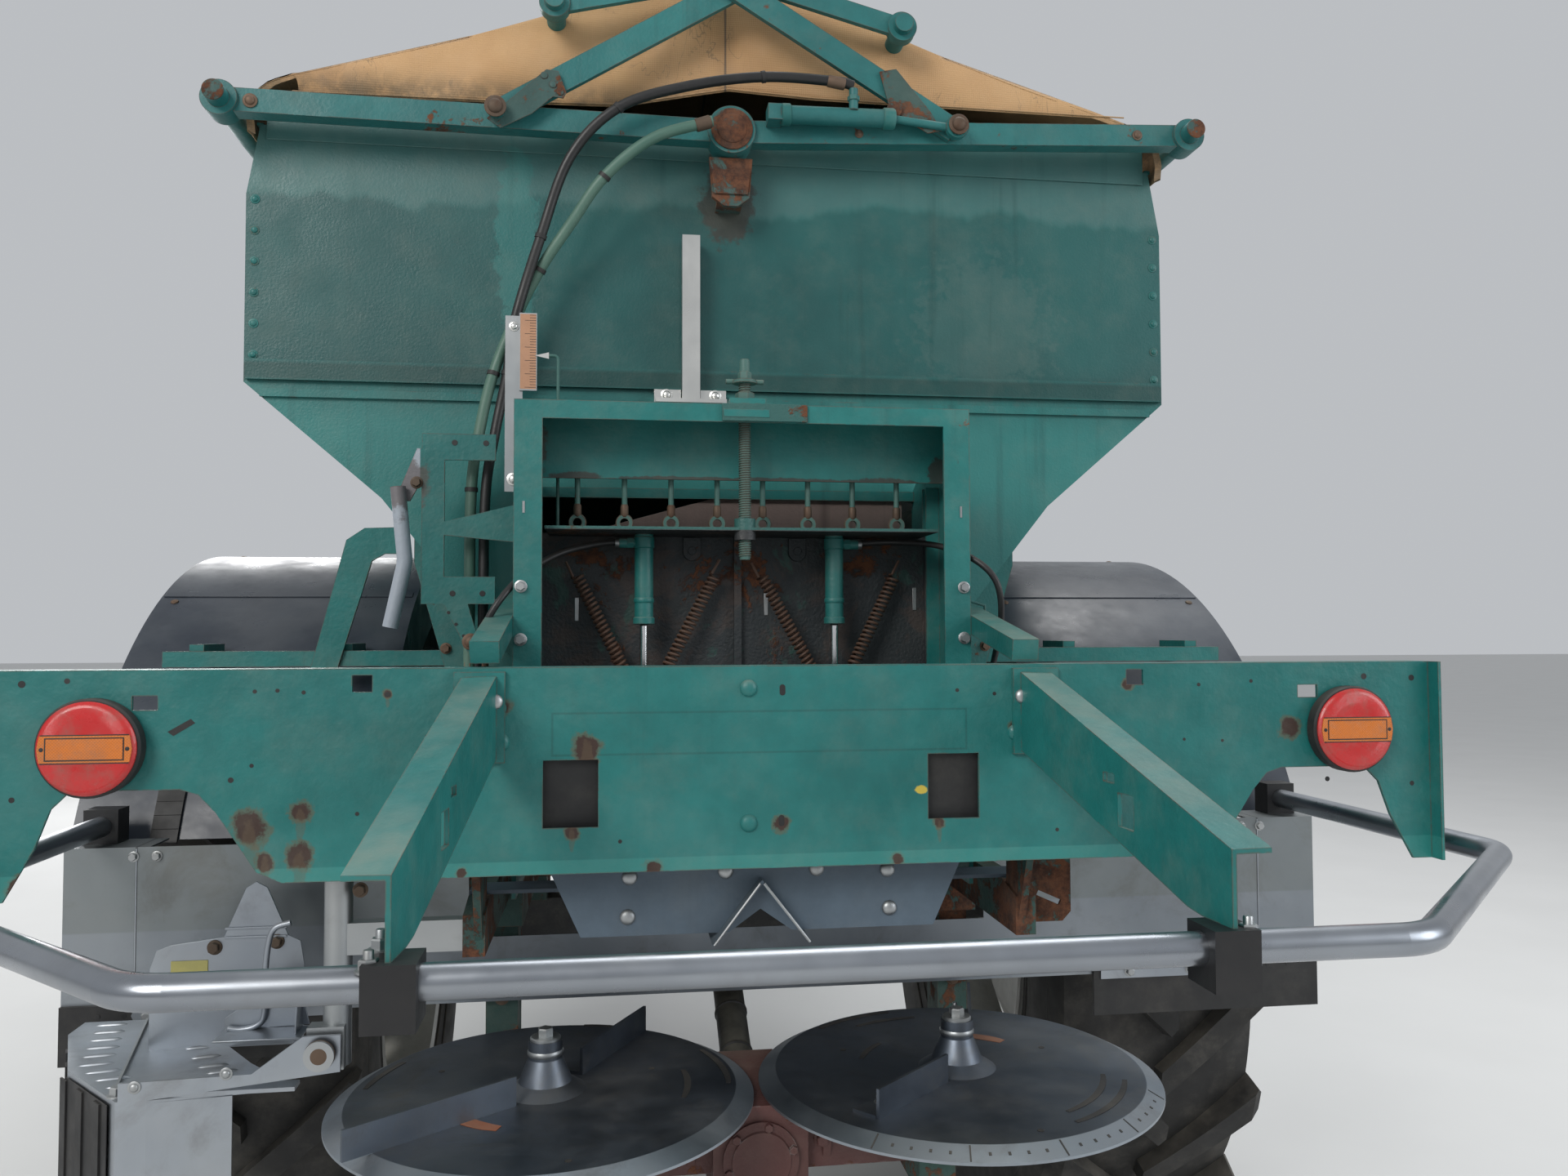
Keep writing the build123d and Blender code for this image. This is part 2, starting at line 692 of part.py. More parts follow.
def shutter():
    """Right-hand shutter plate with its rod and spring bar."""
    plate = box(12, 345, shutter_back, shutter_back + 6, shutter_low, shutter_high)
    plate += box(cylinder_x - 40, cylinder_x + 40, cylinder_back - 12, shutter_back, -80, -68)
    rod_top = gate_high - flange_t - cylinder_cap - shutter_travel - 5
    return plate + rod((cylinder_x, cylinder_back, -70), (cylinder_x, cylinder_back, rod_top), piston_r)


def springs():
    coils = []
    for top_x, low_x in spring_ends:
        coils.append(rod((low_x, 398, spring_low), (top_x, 416, spring_top), spring_r).solid())
    return Compound(children=coils)


# Funnel under the belt's rear end
funnel_half, funnel_foot_half = 335, 280
funnel_rear, funnel_front = 80, 450
funnel_plate = 4
funnel_top, funnel_knee, funnel_low = -150, -300, -420
divider_top, divider_foot = -335, -434


def funnel():
    top, foot, t = funnel_half, funnel_foot_half, funnel_plate
    outline = [(-top, funnel_top), (top, funnel_top), (top, funnel_knee), (foot, funnel_low), (50, funnel_low),
               (0, funnel_low + 35), (-50, funnel_low), (-foot, funnel_low), (-top, funnel_knee)]
    shell = across(outline, funnel_rear, funnel_rear + t)
    lower = [(-top, funnel_knee), (top, funnel_knee), *outline[3:]]
    shell += across(lower, funnel_front - t, funnel_front)
    belt_clear = roller_back - roller_r - belt_thick - 8
    side = [(top - t, funnel_top), (top, funnel_top), (top, funnel_knee), (foot, funnel_low), (foot - t, funnel_low),
            (top - t, funnel_knee)]
    wing = across(side, funnel_rear, belt_clear)
    wing += across([side[2], side[3], side[4], side[5]], funnel_rear, funnel_front)
    wing += box(foot + 21, rail_inner + 60, 180, 245, rail_top, rail_top + 6)
    shell += wing + left(wing)
    shell += box(-top, top, funnel_rear, funnel_rear + 20, funnel_top - t, funnel_top)
    roof = [(0, divider_top), (78, divider_foot), (73, divider_foot), (0, divider_top + 0 - 7), (-73, divider_foot),
            (-78, divider_foot)]
    return shell + across(roof, funnel_rear - 25, funnel_front)


# Drive under the discs
case_half = 75
case_top, case_low = -692, -860
case_rear, case_front = 80, 330
beam_low, beam_high = -800, -712


shaft_line_z = -540
pto_r = 17.45
pto_length = 80
# Driveline guard tube: places along the machine and heights
shaft_points = [(case_front + 75, -780), (950, shaft_line_z), (rail_front - 40, shaft_line_z)]


def gearbox():
    case = across([(-case_half, case_low), (case_half, case_low), (case_half, case_top - 25),
                   (case_half - 25, case_top), (25 - case_half, case_top), (-case_half, case_top - 25)],
                  case_rear, case_front)
    case += box(-460, 460, 100, 200, beam_low, beam_high)
    for side in (-1, 1):
        x = side * disc_half_pitch
        case += rod((x, disc_back, beam_low), (x, disc_back, case_top + 4), 72)
        case += rod((x, disc_back, case_top), (x, disc_back, disc_z + 50), shaft_r)
    return case + rod((0, case_front, shaft_points[0][1]), (0, case_front + 15, shaft_points[0][1]), 36)


def spreader_carrier():
    """Hangers from the rails and the arms that carry the drive."""
    hanger = box(rail_inner + 10, rail_inner + 70, 530, 610, beam_low - 60, rail_bottom)
    arm = box(260, 320, 100, 530, beam_low - 60, beam_low)
    carrier = hanger + arm
    return carrier + left(carrier) + box(-rail_inner - 70, rail_inner + 70, 530, 610, beam_low - 60, beam_low)


def driveline():
    (y0, z0), (y1, z1), (y2, z2) = shaft_points
    line = rod((0, y0, z0), (0, y1, z1), 30) + rod((0, y1, z1), (0, y2, z2), 30)
    line += Pos(*at(0, y1, z1)) * Sphere(42)
    line += Pos(*at(0, y0, z0)) * Sphere(42)
    line += rod((0, case_front + 15, z0), (0, y0, z0), 34)
    line += box(-80, 80, rail_front - 40, rail_front - 20, shaft_line_z - 70, rail_bottom)
    line += rod((0, rail_front - 20, shaft_line_z), (0, rail_front + 50, shaft_line_z), 28)
    return line + rod((0, rail_front + 50, shaft_line_z), (0, rail_front + 50 + pto_length, shaft_line_z), pto_r)


# Spreading discs
def spun(points, side):
    """Turned piece about a disc's shaft from (radius, z) points."""
    face = make_face(Polyline(*points, close=True))
    plane = Plane(at(side * disc_half_pitch, disc_back, 0), x_dir=(1, 0, 0), z_dir=(0, -1, 0))
    return revolve(plane * face, Axis(at(side * disc_half_pitch, disc_back, 0), (0, 0, 1)), 360)


disc_plate = 4
rim_start_r = 302
rim_drop = 14
hub_cone_r = 64
hub_cone_top = 78
hub_cap_r = 27


def disc(side):
    bore = shaft_r + joint_gap
    z, t = disc_z, disc_plate
    plate = spun([(bore, z), (rim_start_r, z), (disc_r, z - rim_drop), (disc_r, z - rim_drop - t),
                  (rim_start_r, z - t), (bore, z - t)], side)
    cone = spun([(bore, z), (hub_cone_r, z), (hub_cone_r - 22, z + 14), (hub_cap_r, z + 50), (hub_cap_r, z + hub_cone_top),
                 (0, z + hub_cone_top), (0, z + 55), (bore, z + 55)], side)
    return plate + cone


vane_height = 44
vane_plate = 5
vane_foot = 42
# Vanes: disc side, angle of its line from +X in degrees, tip radius, sideways offset of the line
vanes = [(-1, 217, vane_r, 22), (-1, 62, 300, -22), (1, 222, 262, 22), (1, 74, vane_r - 20, -22)]


def disc_vanes(side):
    """Two folded blades on one disc: an upright wall and a foot on the plate."""
    blades = []
    for vane_side, angle, tip, offset in vanes:
        if vane_side != side:
            continue
        reach = sqrt(tip ** 2 - (abs(offset) + vane_plate) ** 2)
        start = hub_cone_r + 6
        y0, y1 = sorted((offset, offset + vane_plate * (1 if offset > 0 else -1)))
        foot = sorted((offset, offset - vane_foot * (1 if offset > 0 else -1)))
        low = disc_z
        blade = box(start, reach, y0, y1, low, low + vane_height)
        blade += box(start, rim_start_r - 40, foot[0], foot[1], low, low + vane_plate)
        blade = blade.rotate(Axis(at(0, 0, 0), (0, 0, 1)), angle)
        blades.append((Pos(side * disc_half_pitch, disc_back, 0) * blade).solid())
    return Compound(children=blades)


# Border limiter on the left: a folding plate round the left disc
limiter_hinge = (-662, -576)
limiter_z = -635
limiter_plate = 4
limiter_rear, limiter_front = 78, 465
limiter_outer = [(-744, 98), (-905, 78), (-948, 78), (-1075, 224), (-1150, 400), (-1150, 465)]
limiter_inner = [(-940, 465), (-880, 330), (-800, 215), (-744, 150)]
skirt_line = [(-790, 90), (-905, 78), (-948, 78), (-1075, 224), (-1150, 400), (-1150, 465)]
skirt_drop = 185


def limiter():
    """Ribbed plate, its outer skirt and the arm to the hinge bolt."""
    plate = flat(limiter_outer + limiter_inner, limiter_z, limiter_z + limiter_plate)
    skirt = flat(band(skirt_line[::-1], limiter_plate), limiter_z - skirt_drop, limiter_z)
    arm = across([(limiter_hinge[0] + 28, limiter_hinge[1] + 26), (limiter_hinge[0] + 28, limiter_hinge[1] - 28),
                  (-925, limiter_z + 2), (-945, limiter_z + 2), (-945, limiter_z + 30), (-760, limiter_z + 34),
                  (limiter_hinge[0] - 26, limiter_hinge[1] + 26)], limiter_rear, limiter_rear + 6)
    arm += box(-930, -700, limiter_rear + 6, limiter_rear + 36, limiter_z + limiter_plate, limiter_z + 10)
    x, z = limiter_hinge
    arm -= rod((x, limiter_rear - 5, z), (x, limiter_rear + 12, z), 14 + joint_gap)
    return plate + skirt + arm


carrier_tube_r = 21
carrier_back = 122


def limiter_carrier():
    """Upright tube, its arm to the rail and the hinge bolt."""
    x, z = limiter_hinge
    tube = rod((x + 14, carrier_back, z - 30), (x + 14, carrier_back, -60), carrier_tube_r)
    rail_side = rear_bar_x + rear_bar_width
    tube += box(x + 14, -rail_side, carrier_back - 14, carrier_back + 14, rail_top - rear_bar_height + 8,
                rail_top - 22)
    tube += box(x - 10, x + 40, bar_plate, carrier_back, -110, -102)
    tube += box(x - 24, x + 30, limiter_rear + 14, carrier_back, z - 30, z + 34)
    tube += rod((x, limiter_rear - 8, z), (x, limiter_rear + 20, z), 14)
    return tube + rod((x, limiter_rear - 14, z), (x, limiter_rear - 6, z), 22)


# Brackets and small pieces on the left of the gate frame
hook_back = 500


def hose_bracket():
    """C-shaped plate that guides the hoses, with its gusset and the strap below."""
    plate = across([(-591, 106), (-455, 106), (-455, 158), (-549, 158), (-549, 379), (-455, 379), (-455, 429), (-591, 429)],
                   hook_back, hook_back + 6)
    plate += across([(-549, 236), (-rail_inner, 222), (-rail_inner, 300), (-549, 262)], hook_back, hook_back + 6)
    plate += across([(-549, 106), (-505, 106), (-478, stay_z + 16), (-505, stay_z + 16)], hook_back, hook_back + 6)
    return plate


def stowed_crank():
    """Bent crank tube hung on the C-shaped plate."""
    tube = pipe([(-632, hook_back - 12, 325), (-618, hook_back - 12, 185), (-644, hook_back - 12, 62)], 14, 60)
    strap = across([(-640, 300), (-600, 400), (-591, 400), (-591, 340), (-612, 300)], hook_back, hook_back + 5)
    return tube + strap


def level_scale():
    """Flat strip with a ruler beside it."""
    strip = box(-rail_inner - 32, -rail_inner - seat, gate_rear + 180, gate_rear + 184, 312, 640)
    return strip + box(-rail_inner - 6, -rail_inner + 26, gate_rear + 176, gate_rear + 180, 500, 645)


def setting_tube():
    """Square aluminium tube on its foot against the rear wall."""
    x = -78
    tube = box(x - 18, x + 18, 585, 621, 520, 860) - box(x - 16, x + 16, 587, 619, 510, 870)
    return tube + box(-150, -8, 560, hopper_back - 8 - seat, 512, 520)


# Hood over the hopper
hood_left_z, hood_right_z = 1068, 1106
hood_bar_back = 560
hood_bar_front = 4550
hood_hub_z = 1060
hood_ridge_z = 1430
hood_eave_half, hood_eave_z = 880, 1150
hood_hem_half, hood_hem_z = 950, 1030
hood_sheet = 8
hood_rear, hood_front = 602, 4508
side_tube_x, side_tube_r = 976, 20
mid_tube_x, mid_tube_r = 350, 19
hood_bar_depth, hood_bar_height = 36, 46
arm_foot_x = 460


# Inner face of the sheet above the mid tubes, and the tubes' axis under it
hood_slope = (hood_ridge_z - hood_eave_z) / hood_eave_half
mid_tube_z = hood_ridge_z - hood_sheet - hood_slope * mid_tube_x - (mid_tube_r + seat) * 1.06


def hood_outline(shrink):
    half = [(hood_hem_half - shrink, hood_hem_z), (hood_hem_half - shrink, hood_eave_z - 45),
            (hood_eave_half - shrink, hood_eave_z - shrink), (0, hood_ridge_z - shrink)]
    return half + [(-x, z) for x, z in reversed(half[:-1])]


def tarpaulin():
    """Tent-shaped sheet with closed gables, open below."""
    tent = across(hood_outline(0), hood_rear, hood_front)
    tent -= across(hood_outline(hood_sheet), hood_rear + hood_sheet, hood_front - hood_sheet)
    for x in (-mid_tube_x, mid_tube_x):
        tent -= rod((x, hood_rear - 10, mid_tube_z), (x, hood_front + 10, mid_tube_z), mid_tube_r + seat)
    return tent


tube_rear, tube_front = 505, 4605
hood_pin_r = 15


def hood_tubes():
    """Side tubes at the hem, mid tubes under the roof and the ridge tube."""
    z = mid_tube_z
    tubes = [rod((-side_tube_x, tube_rear, hood_left_z), (-side_tube_x, tube_front, hood_left_z), side_tube_r),
             rod((side_tube_x, tube_rear, hood_right_z), (side_tube_x, tube_front, hood_right_z), side_tube_r),
             rod((-mid_tube_x, tube_rear, z), (-mid_tube_x, tube_front, z), mid_tube_r),
             rod((mid_tube_x, tube_rear, z), (mid_tube_x, tube_front, z), mid_tube_r)]
    return Compound(children=[tube.solid() for tube in tubes])


def hood_frame(back, out):
    """Bars from the hub to the side tubes, with the A-shaped arms and the mid tubes' arms before them."""
    frame = rod((0, back - 28, hood_hub_z), (0, back + 28, hood_hub_z), 48)
    mid_z = mid_tube_z
    arm_back = back - out * 26
    for side, end_z in ((-1, hood_left_z), (1, hood_right_z)):
        frame += beam((side * 20, back, hood_hub_z), (side * side_tube_x, back, end_z), hood_bar_depth,
                      hood_bar_height)
        frame += rod((side * side_tube_x, back - 25, end_z), (side * side_tube_x, back + 25, end_z), 34)
        foot_z = hood_hub_z + (end_z - hood_hub_z) * arm_foot_x / side_tube_x
        frame += beam((side * arm_foot_x, arm_back, foot_z), (-side * 40, arm_back - out * (7 + 7 * side),
                      hood_ridge_z - 60), 12, 50)
        frame += rod((side * arm_foot_x, back - out * 60, foot_z), (side * arm_foot_x, back, foot_z), 16)
        frame += beam((side * mid_tube_x, arm_back, mid_z), (0, arm_back, hood_ridge_z - 52), 12, 40)
        frame += rod((side * mid_tube_x, arm_back - 12, mid_z), (side * mid_tube_x, arm_back + 12, mid_z), 30)
    for side, end_z in ((-1, hood_left_z), (1, hood_right_z)):
        for x, z, radius in ((side * side_tube_x, end_z, side_tube_r), (side * mid_tube_x, mid_z, mid_tube_r)):
            frame -= rod((x, back - 60, z), (x, back + 60, z), radius + joint_gap)
    return frame


def hub_brackets():
    """Round-footed brackets that carry the two hubs on the end walls."""
    brackets = []
    for back, wall, out in ((hood_bar_back, hopper_back, 1), (hood_bar_front, hopper_front + 35, -1)):
        plate = across([(-44, hood_hub_z - 50), (44, hood_hub_z - 50), (38, 930), (14, 912), (-14, 912), (-38, 930)],
                       back - 6, back + 6)
        near, far = sorted((back + out * 6, wall))
        plate += box(-26, 26, near, far, 925, 985)
        brackets.append(plate)
    return both_ends(brackets)


def hood_cylinder():
    """Cylinder along the right bar, from the hub to the arm's foot."""
    foot_z = hood_hub_z + (hood_right_z - hood_hub_z) * arm_foot_x / side_tube_x
    body = rod((96, 515, 1088), (330, 515, 1092), 18)
    body += rod((330, 515, 1092), (arm_foot_x - 20, 515, foot_z), 8)
    eye = rod((arm_foot_x, 505, foot_z), (arm_foot_x, 519, foot_z), 24, 16 + joint_gap)
    body += eye
    body += box(70, 100, 500, hood_bar_back - hood_bar_depth / 2, 1072, 1104)
    return body + rod((243, 503, 1100), (243, 503, 1143), 9)


hose_r, pipe_r = 10, 11
# Hose to the hood's cylinder and pipe to its hub, both led down beside the gate frame
hood_hose = [(243, 503, 1143 + hose_r), (60, 500, 1153), (-90, 500, 1127), (-225, 500, 1076), (-318, 516, 980),
             (-375, 532, 825), (-424, 540, 660), (-440, 560, 560), (-463, 560, 440), (-480, 560, 320), (-483, 560, -50)]
hub_pipe = [(-42, 500, 1060), (-158, 500, 1019), (-252, 515, 944), (-315, 535, 858), (-378, 552, 765), (-426, 566, 669),
            (-467, 566, 560), (-490, 562, 458), (-507, 560, 330), (-509, 560, -50)]


def hood_hoses():
    hoses = together(pipe(hood_hose, hose_r, 60), pipe(hub_pipe, pipe_r, 60))
    block = box(-530, -rail_inner, 540, 590, -110, -50)
    return together(hoses, block)


# Drawbar, hitch eye and jack
drawbar_rear = rail_front
eye_reach = 270             # drawbar's nose to the front of its eye
hitch_height = 900
nose_back = front_y - bar_y - eye_reach
hitch_z = hitch_height - bar_top
eye_r, eye_bore_r, eye_thick = 55, 20, 30
drawbar_width, drawbar_height = 80, 130


arm_start = (rail_inner + rail_width / 2 + 20, drawbar_rear - 70, (rail_top + rail_bottom) / 2 + 12)
arm_tip = (70, nose_back + 10, hitch_z)
cross_share = 660 / 1317    # cross member's place along the drawbar
jack_share = 700 / 1317     # jack's place along the drawbar
cross_back = drawbar_rear + (nose_back - drawbar_rear) * cross_share
cross_size = 80


def arm_at(back):
    """Middle of the drawbar's right-hand beam at a place along the machine: x and z."""
    share = (back - arm_start[1]) / (arm_tip[1] - arm_start[1])
    return arm_start[0] + (arm_tip[0] - arm_start[0]) * share, arm_start[2] + (arm_tip[2] - arm_start[2]) * share


def drawbar():
    arm = beam(arm_start, arm_tip, drawbar_width, drawbar_height)
    arm &= box(0, 700, drawbar_rear + 12, nose_back, -1200, 0)
    arm += box(rail_inner - 10, rail_inner + rail_width + 10, drawbar_rear, drawbar_rear + 12, rail_bottom - 10,
               rail_top + 10)
    bar = arm + left(arm)
    bar += box(-110, 110, nose_back - 160, nose_back, hitch_z - 70, hitch_z + 70)
    x, z = arm_at(cross_back)
    bar += box(-x, x, cross_back - cross_size / 2, cross_back + cross_size / 2, z - 90, z - 30)
    x, z = arm_at(jack_back)
    return bar + box(jack_x + jack_tube / 2, -x, jack_back - 50, jack_back + 50, z - 55, z + 45)


def hitch_eye():
    y = front_y - bar_y - eye_r
    eye = rod((0, y, hitch_z - eye_thick / 2), (0, y, hitch_z + eye_thick / 2), eye_r)
    eye += box(-32, 32, nose_back + 16, y, hitch_z - eye_thick / 2, hitch_z + eye_thick / 2)
    eye += box(-60, 60, nose_back, nose_back + 16, hitch_z - 60, hitch_z + 60)
    return eye - rod((0, y, hitch_z - 40), (0, y, hitch_z + 40), eye_bore_r)


jack_tube, jack_wall = 80, 8
jack_back = drawbar_rear + (nose_back - drawbar_rear) * jack_share
jack_x = -arm_at(jack_back)[0] - drawbar_width / 2 - jack_tube / 2 - 25
jack_bottom_height, jack_top_height, leg_top_height = 450, 1260, 880
jack_low, jack_high = jack_bottom_height - bar_top, jack_top_height - bar_top
leg_size, leg_top = 63.4, leg_top_height - bar_top
foot_r, foot_thick = 110, 12


def jack():
    half = jack_tube / 2
    x, y = jack_x, jack_back
    tube = box(x - half, x + half, y - half, y + half, jack_low, jack_high)
    tube -= box(x - half + jack_wall, x + half - jack_wall, y - half + jack_wall, y + half - jack_wall, jack_low - 1,
                jack_high - 10)
    tube += rod((x, y, jack_high), (x, y, jack_high + 30), 20)
    return tube + rod((x, y, jack_high + 20), (x - 150, y, jack_high + 20), 8)


def jack_leg():
    half = leg_size / 2
    x, y = jack_x, jack_back
    leg = box(x - half, x + half, y - half, y + half, foot_thick - bar_top, leg_top)
    return leg + rod((x, y, -bar_top), (x, y, foot_thick - bar_top), foot_r)


pieces = {
    "rear_crossbar": crossbar(),
    "lamp_left": lamp(-1),
    "lamp_right": lamp(1),
    "guard_arm_left": left(guard_arm()),
    "guard_arm_right": guard_arm(),
    "guard_tube": guard_tube(),
    "tube_clamps": together(tube_clamps(), end_clamps()),
    "shield": shield(),
    "shield_strips": shield_strips(),
    "hopper_side_left": left(hopper_side()),
    "hopper_side_right": hopper_side(),
    "hopper_rear_wall": hopper_rear(),
    "hopper_front_wall": hopper_front_wall(),
    "hopper_saddles": hopper_saddles(),
    "chassis": chassis(),
    "axle": axle(),
    "rim_left": left(rim()),
    "rim_right": rim(),
    "hub_left": left(hub()),
    "hub_right": hub(),
    "tyre_left": left(tyre()),
    "tyre_right": tyre(),
    "mudguard_left": left(mudguard()),
    "mudguard_right": mudguard(),
    "mudguard_stays": together(mudguard_stays(), arch_bracket()),
    "belt": belt(),
    "belt_rollers": belt_rollers(),
    "belt_frame": belt_frame(),
    "gate_frame": together(gate_frame(), frame_struts()),
    "gate_screw": gate_screw(),
    "gate_plate": gate_plate(),
    "gate_eyebolts": together(eyebolts(), gate_pointer()),
    "shutter_cylinders": both(cylinder()),
    "shutter_left": left(shutter()),
    "shutter_right": shutter(),
    "springs_left": left(springs()),
    "springs_right": springs(),
    "funnel": funnel(),
    "disc_gearbox": gearbox(),
    "spreader_carrier": spreader_carrier(),
    "driveline": driveline(),
    "disc_left": together(disc(-1), disc_vanes(-1)),
    "disc_right": together(disc(1), disc_vanes(1)),
    "limiter": limiter(),
    "limiter_carrier": limiter_carrier(),
    "hose_bracket": together(hose_bracket(), stowed_crank()),
    "level_scale": level_scale(),
    "setting_tube": setting_tube(),
    "tarpaulin": tarpaulin(),
    "hood_tubes": hood_tubes(),
    "hood_frame_rear": hood_frame(hood_bar_back, 1),
    "hood_frame_front": hood_frame(hood_bar_front, -1),
    "hub_brackets": hub_brackets(),
    "hood_cylinder": hood_cylinder(),
    "hood_hoses": hood_hoses(),
    "drawbar": drawbar(),
    "hitch_eye": hitch_eye(),
    "jack": jack(),
    "jack_leg": jack_leg(),
}

for name, shape in pieces.items():
    save(name, shape)
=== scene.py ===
"""Trailed fertilizer spreader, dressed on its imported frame. Metres, the frame's own axes."""
from math import cos, dist, pi, radians, sin

import bmesh
import bpy
from mathutils import Matrix, Vector, noise


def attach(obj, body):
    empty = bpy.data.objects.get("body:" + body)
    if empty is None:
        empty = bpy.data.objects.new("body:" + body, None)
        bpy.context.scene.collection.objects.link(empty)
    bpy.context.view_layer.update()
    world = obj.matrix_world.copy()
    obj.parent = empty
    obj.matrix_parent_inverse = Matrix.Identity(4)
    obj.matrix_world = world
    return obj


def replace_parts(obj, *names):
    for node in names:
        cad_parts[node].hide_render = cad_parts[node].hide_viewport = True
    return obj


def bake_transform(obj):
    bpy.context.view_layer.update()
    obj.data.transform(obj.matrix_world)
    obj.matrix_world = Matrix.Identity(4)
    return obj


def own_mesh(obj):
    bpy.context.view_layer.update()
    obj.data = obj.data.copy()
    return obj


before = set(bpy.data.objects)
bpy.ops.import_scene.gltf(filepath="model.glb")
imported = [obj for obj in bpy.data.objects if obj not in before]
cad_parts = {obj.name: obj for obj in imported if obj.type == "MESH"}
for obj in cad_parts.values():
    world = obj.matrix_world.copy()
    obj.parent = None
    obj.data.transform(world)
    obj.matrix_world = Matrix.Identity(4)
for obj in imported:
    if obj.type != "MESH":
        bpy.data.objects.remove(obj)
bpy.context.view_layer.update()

# The rear crossbar's rear face and upper edge: most places are counted from them
BAR_Y = -2.783
BAR_Z = 1.6
# Places that several pieces share, counted from the crossbar
DISC_X, DISC_BACK, DISC_TOP = 0.336, 0.143, -0.67
CYLINDER_X, CYLINDER_BACK, SCREW_BACK = 0.177, 0.385, 0.30
LAMP_X, LAMP_Z, LIMITER_Z = 0.953, -0.108, -0.631
REAR, FRONT, UP, DOWN = (0, -1, 0), (0, 1, 0), (0, 0, 1), (0, 0, -1)
SIDES = ((-1, "left"), (1, "right"))


def at(x, back, z):
    return Vector((x, BAR_Y + back, BAR_Z + z))


def circle(count, start=0.0):
    """Angles in radians, evenly round a circle."""
    return [2 * pi * n / count + start for n in range(count)]


AXLE = at(0, 1.53, -0.725)

# Camera
camera = bpy.data.objects.new("camera", bpy.data.cameras.new("camera"))
camera.data.sensor_width = 36
camera.data.lens = 27.04
camera.data.clip_end = 200
camera.location = at(-0.224, -1.785, 0.05)
camera.rotation_euler = (Matrix.Rotation(radians(-8.03), 3, "Z") @ Matrix.Rotation(radians(92.18), 3, "X")
                         @ Matrix.Rotation(radians(-0.17), 3, "Z")).to_euler()
bpy.context.collection.objects.link(camera)
bpy.context.scene.camera = camera

# Light
world = bpy.data.worlds.new("studio")
bpy.context.scene.world = world
world.use_nodes = True
world.node_tree.nodes["Background"].inputs["Color"].default_value = (0.86, 0.89, 0.93, 1)
world.node_tree.nodes["Background"].inputs["Strength"].default_value = 0.58
bpy.context.scene.view_settings.view_transform = "Standard"


def area_light(name, place, target, size, power, colour=(1, 1, 1)):
    data = bpy.data.lights.new(name, "AREA")
    data.shape = "DISK"
    data.size = size
    data.energy = power
    data.color = colour
    lamp = bpy.data.objects.new(name, data)
    lamp.location = place
    lamp.rotation_euler = (Vector(target) - Vector(place)).to_track_quat("-Z", "Y").to_euler()
    bpy.context.collection.objects.link(lamp)


area_light("key", (-5.5, -9.5, 6.5), (0, -2.5, 1.4), 4.5, 540, (1, 0.98, 0.95))
area_light("fill", (7.5, -6.5, 4.0), (0, -1.5, 1.2), 5.0, 250, (0.93, 0.96, 1))
area_light("top", (1.5, 1.0, 9.0), (0, 0, 1), 6.0, 400)
area_light("front", (-5.0, 9.0, 5.0), (0, 0, 1.4), 5.0, 380)


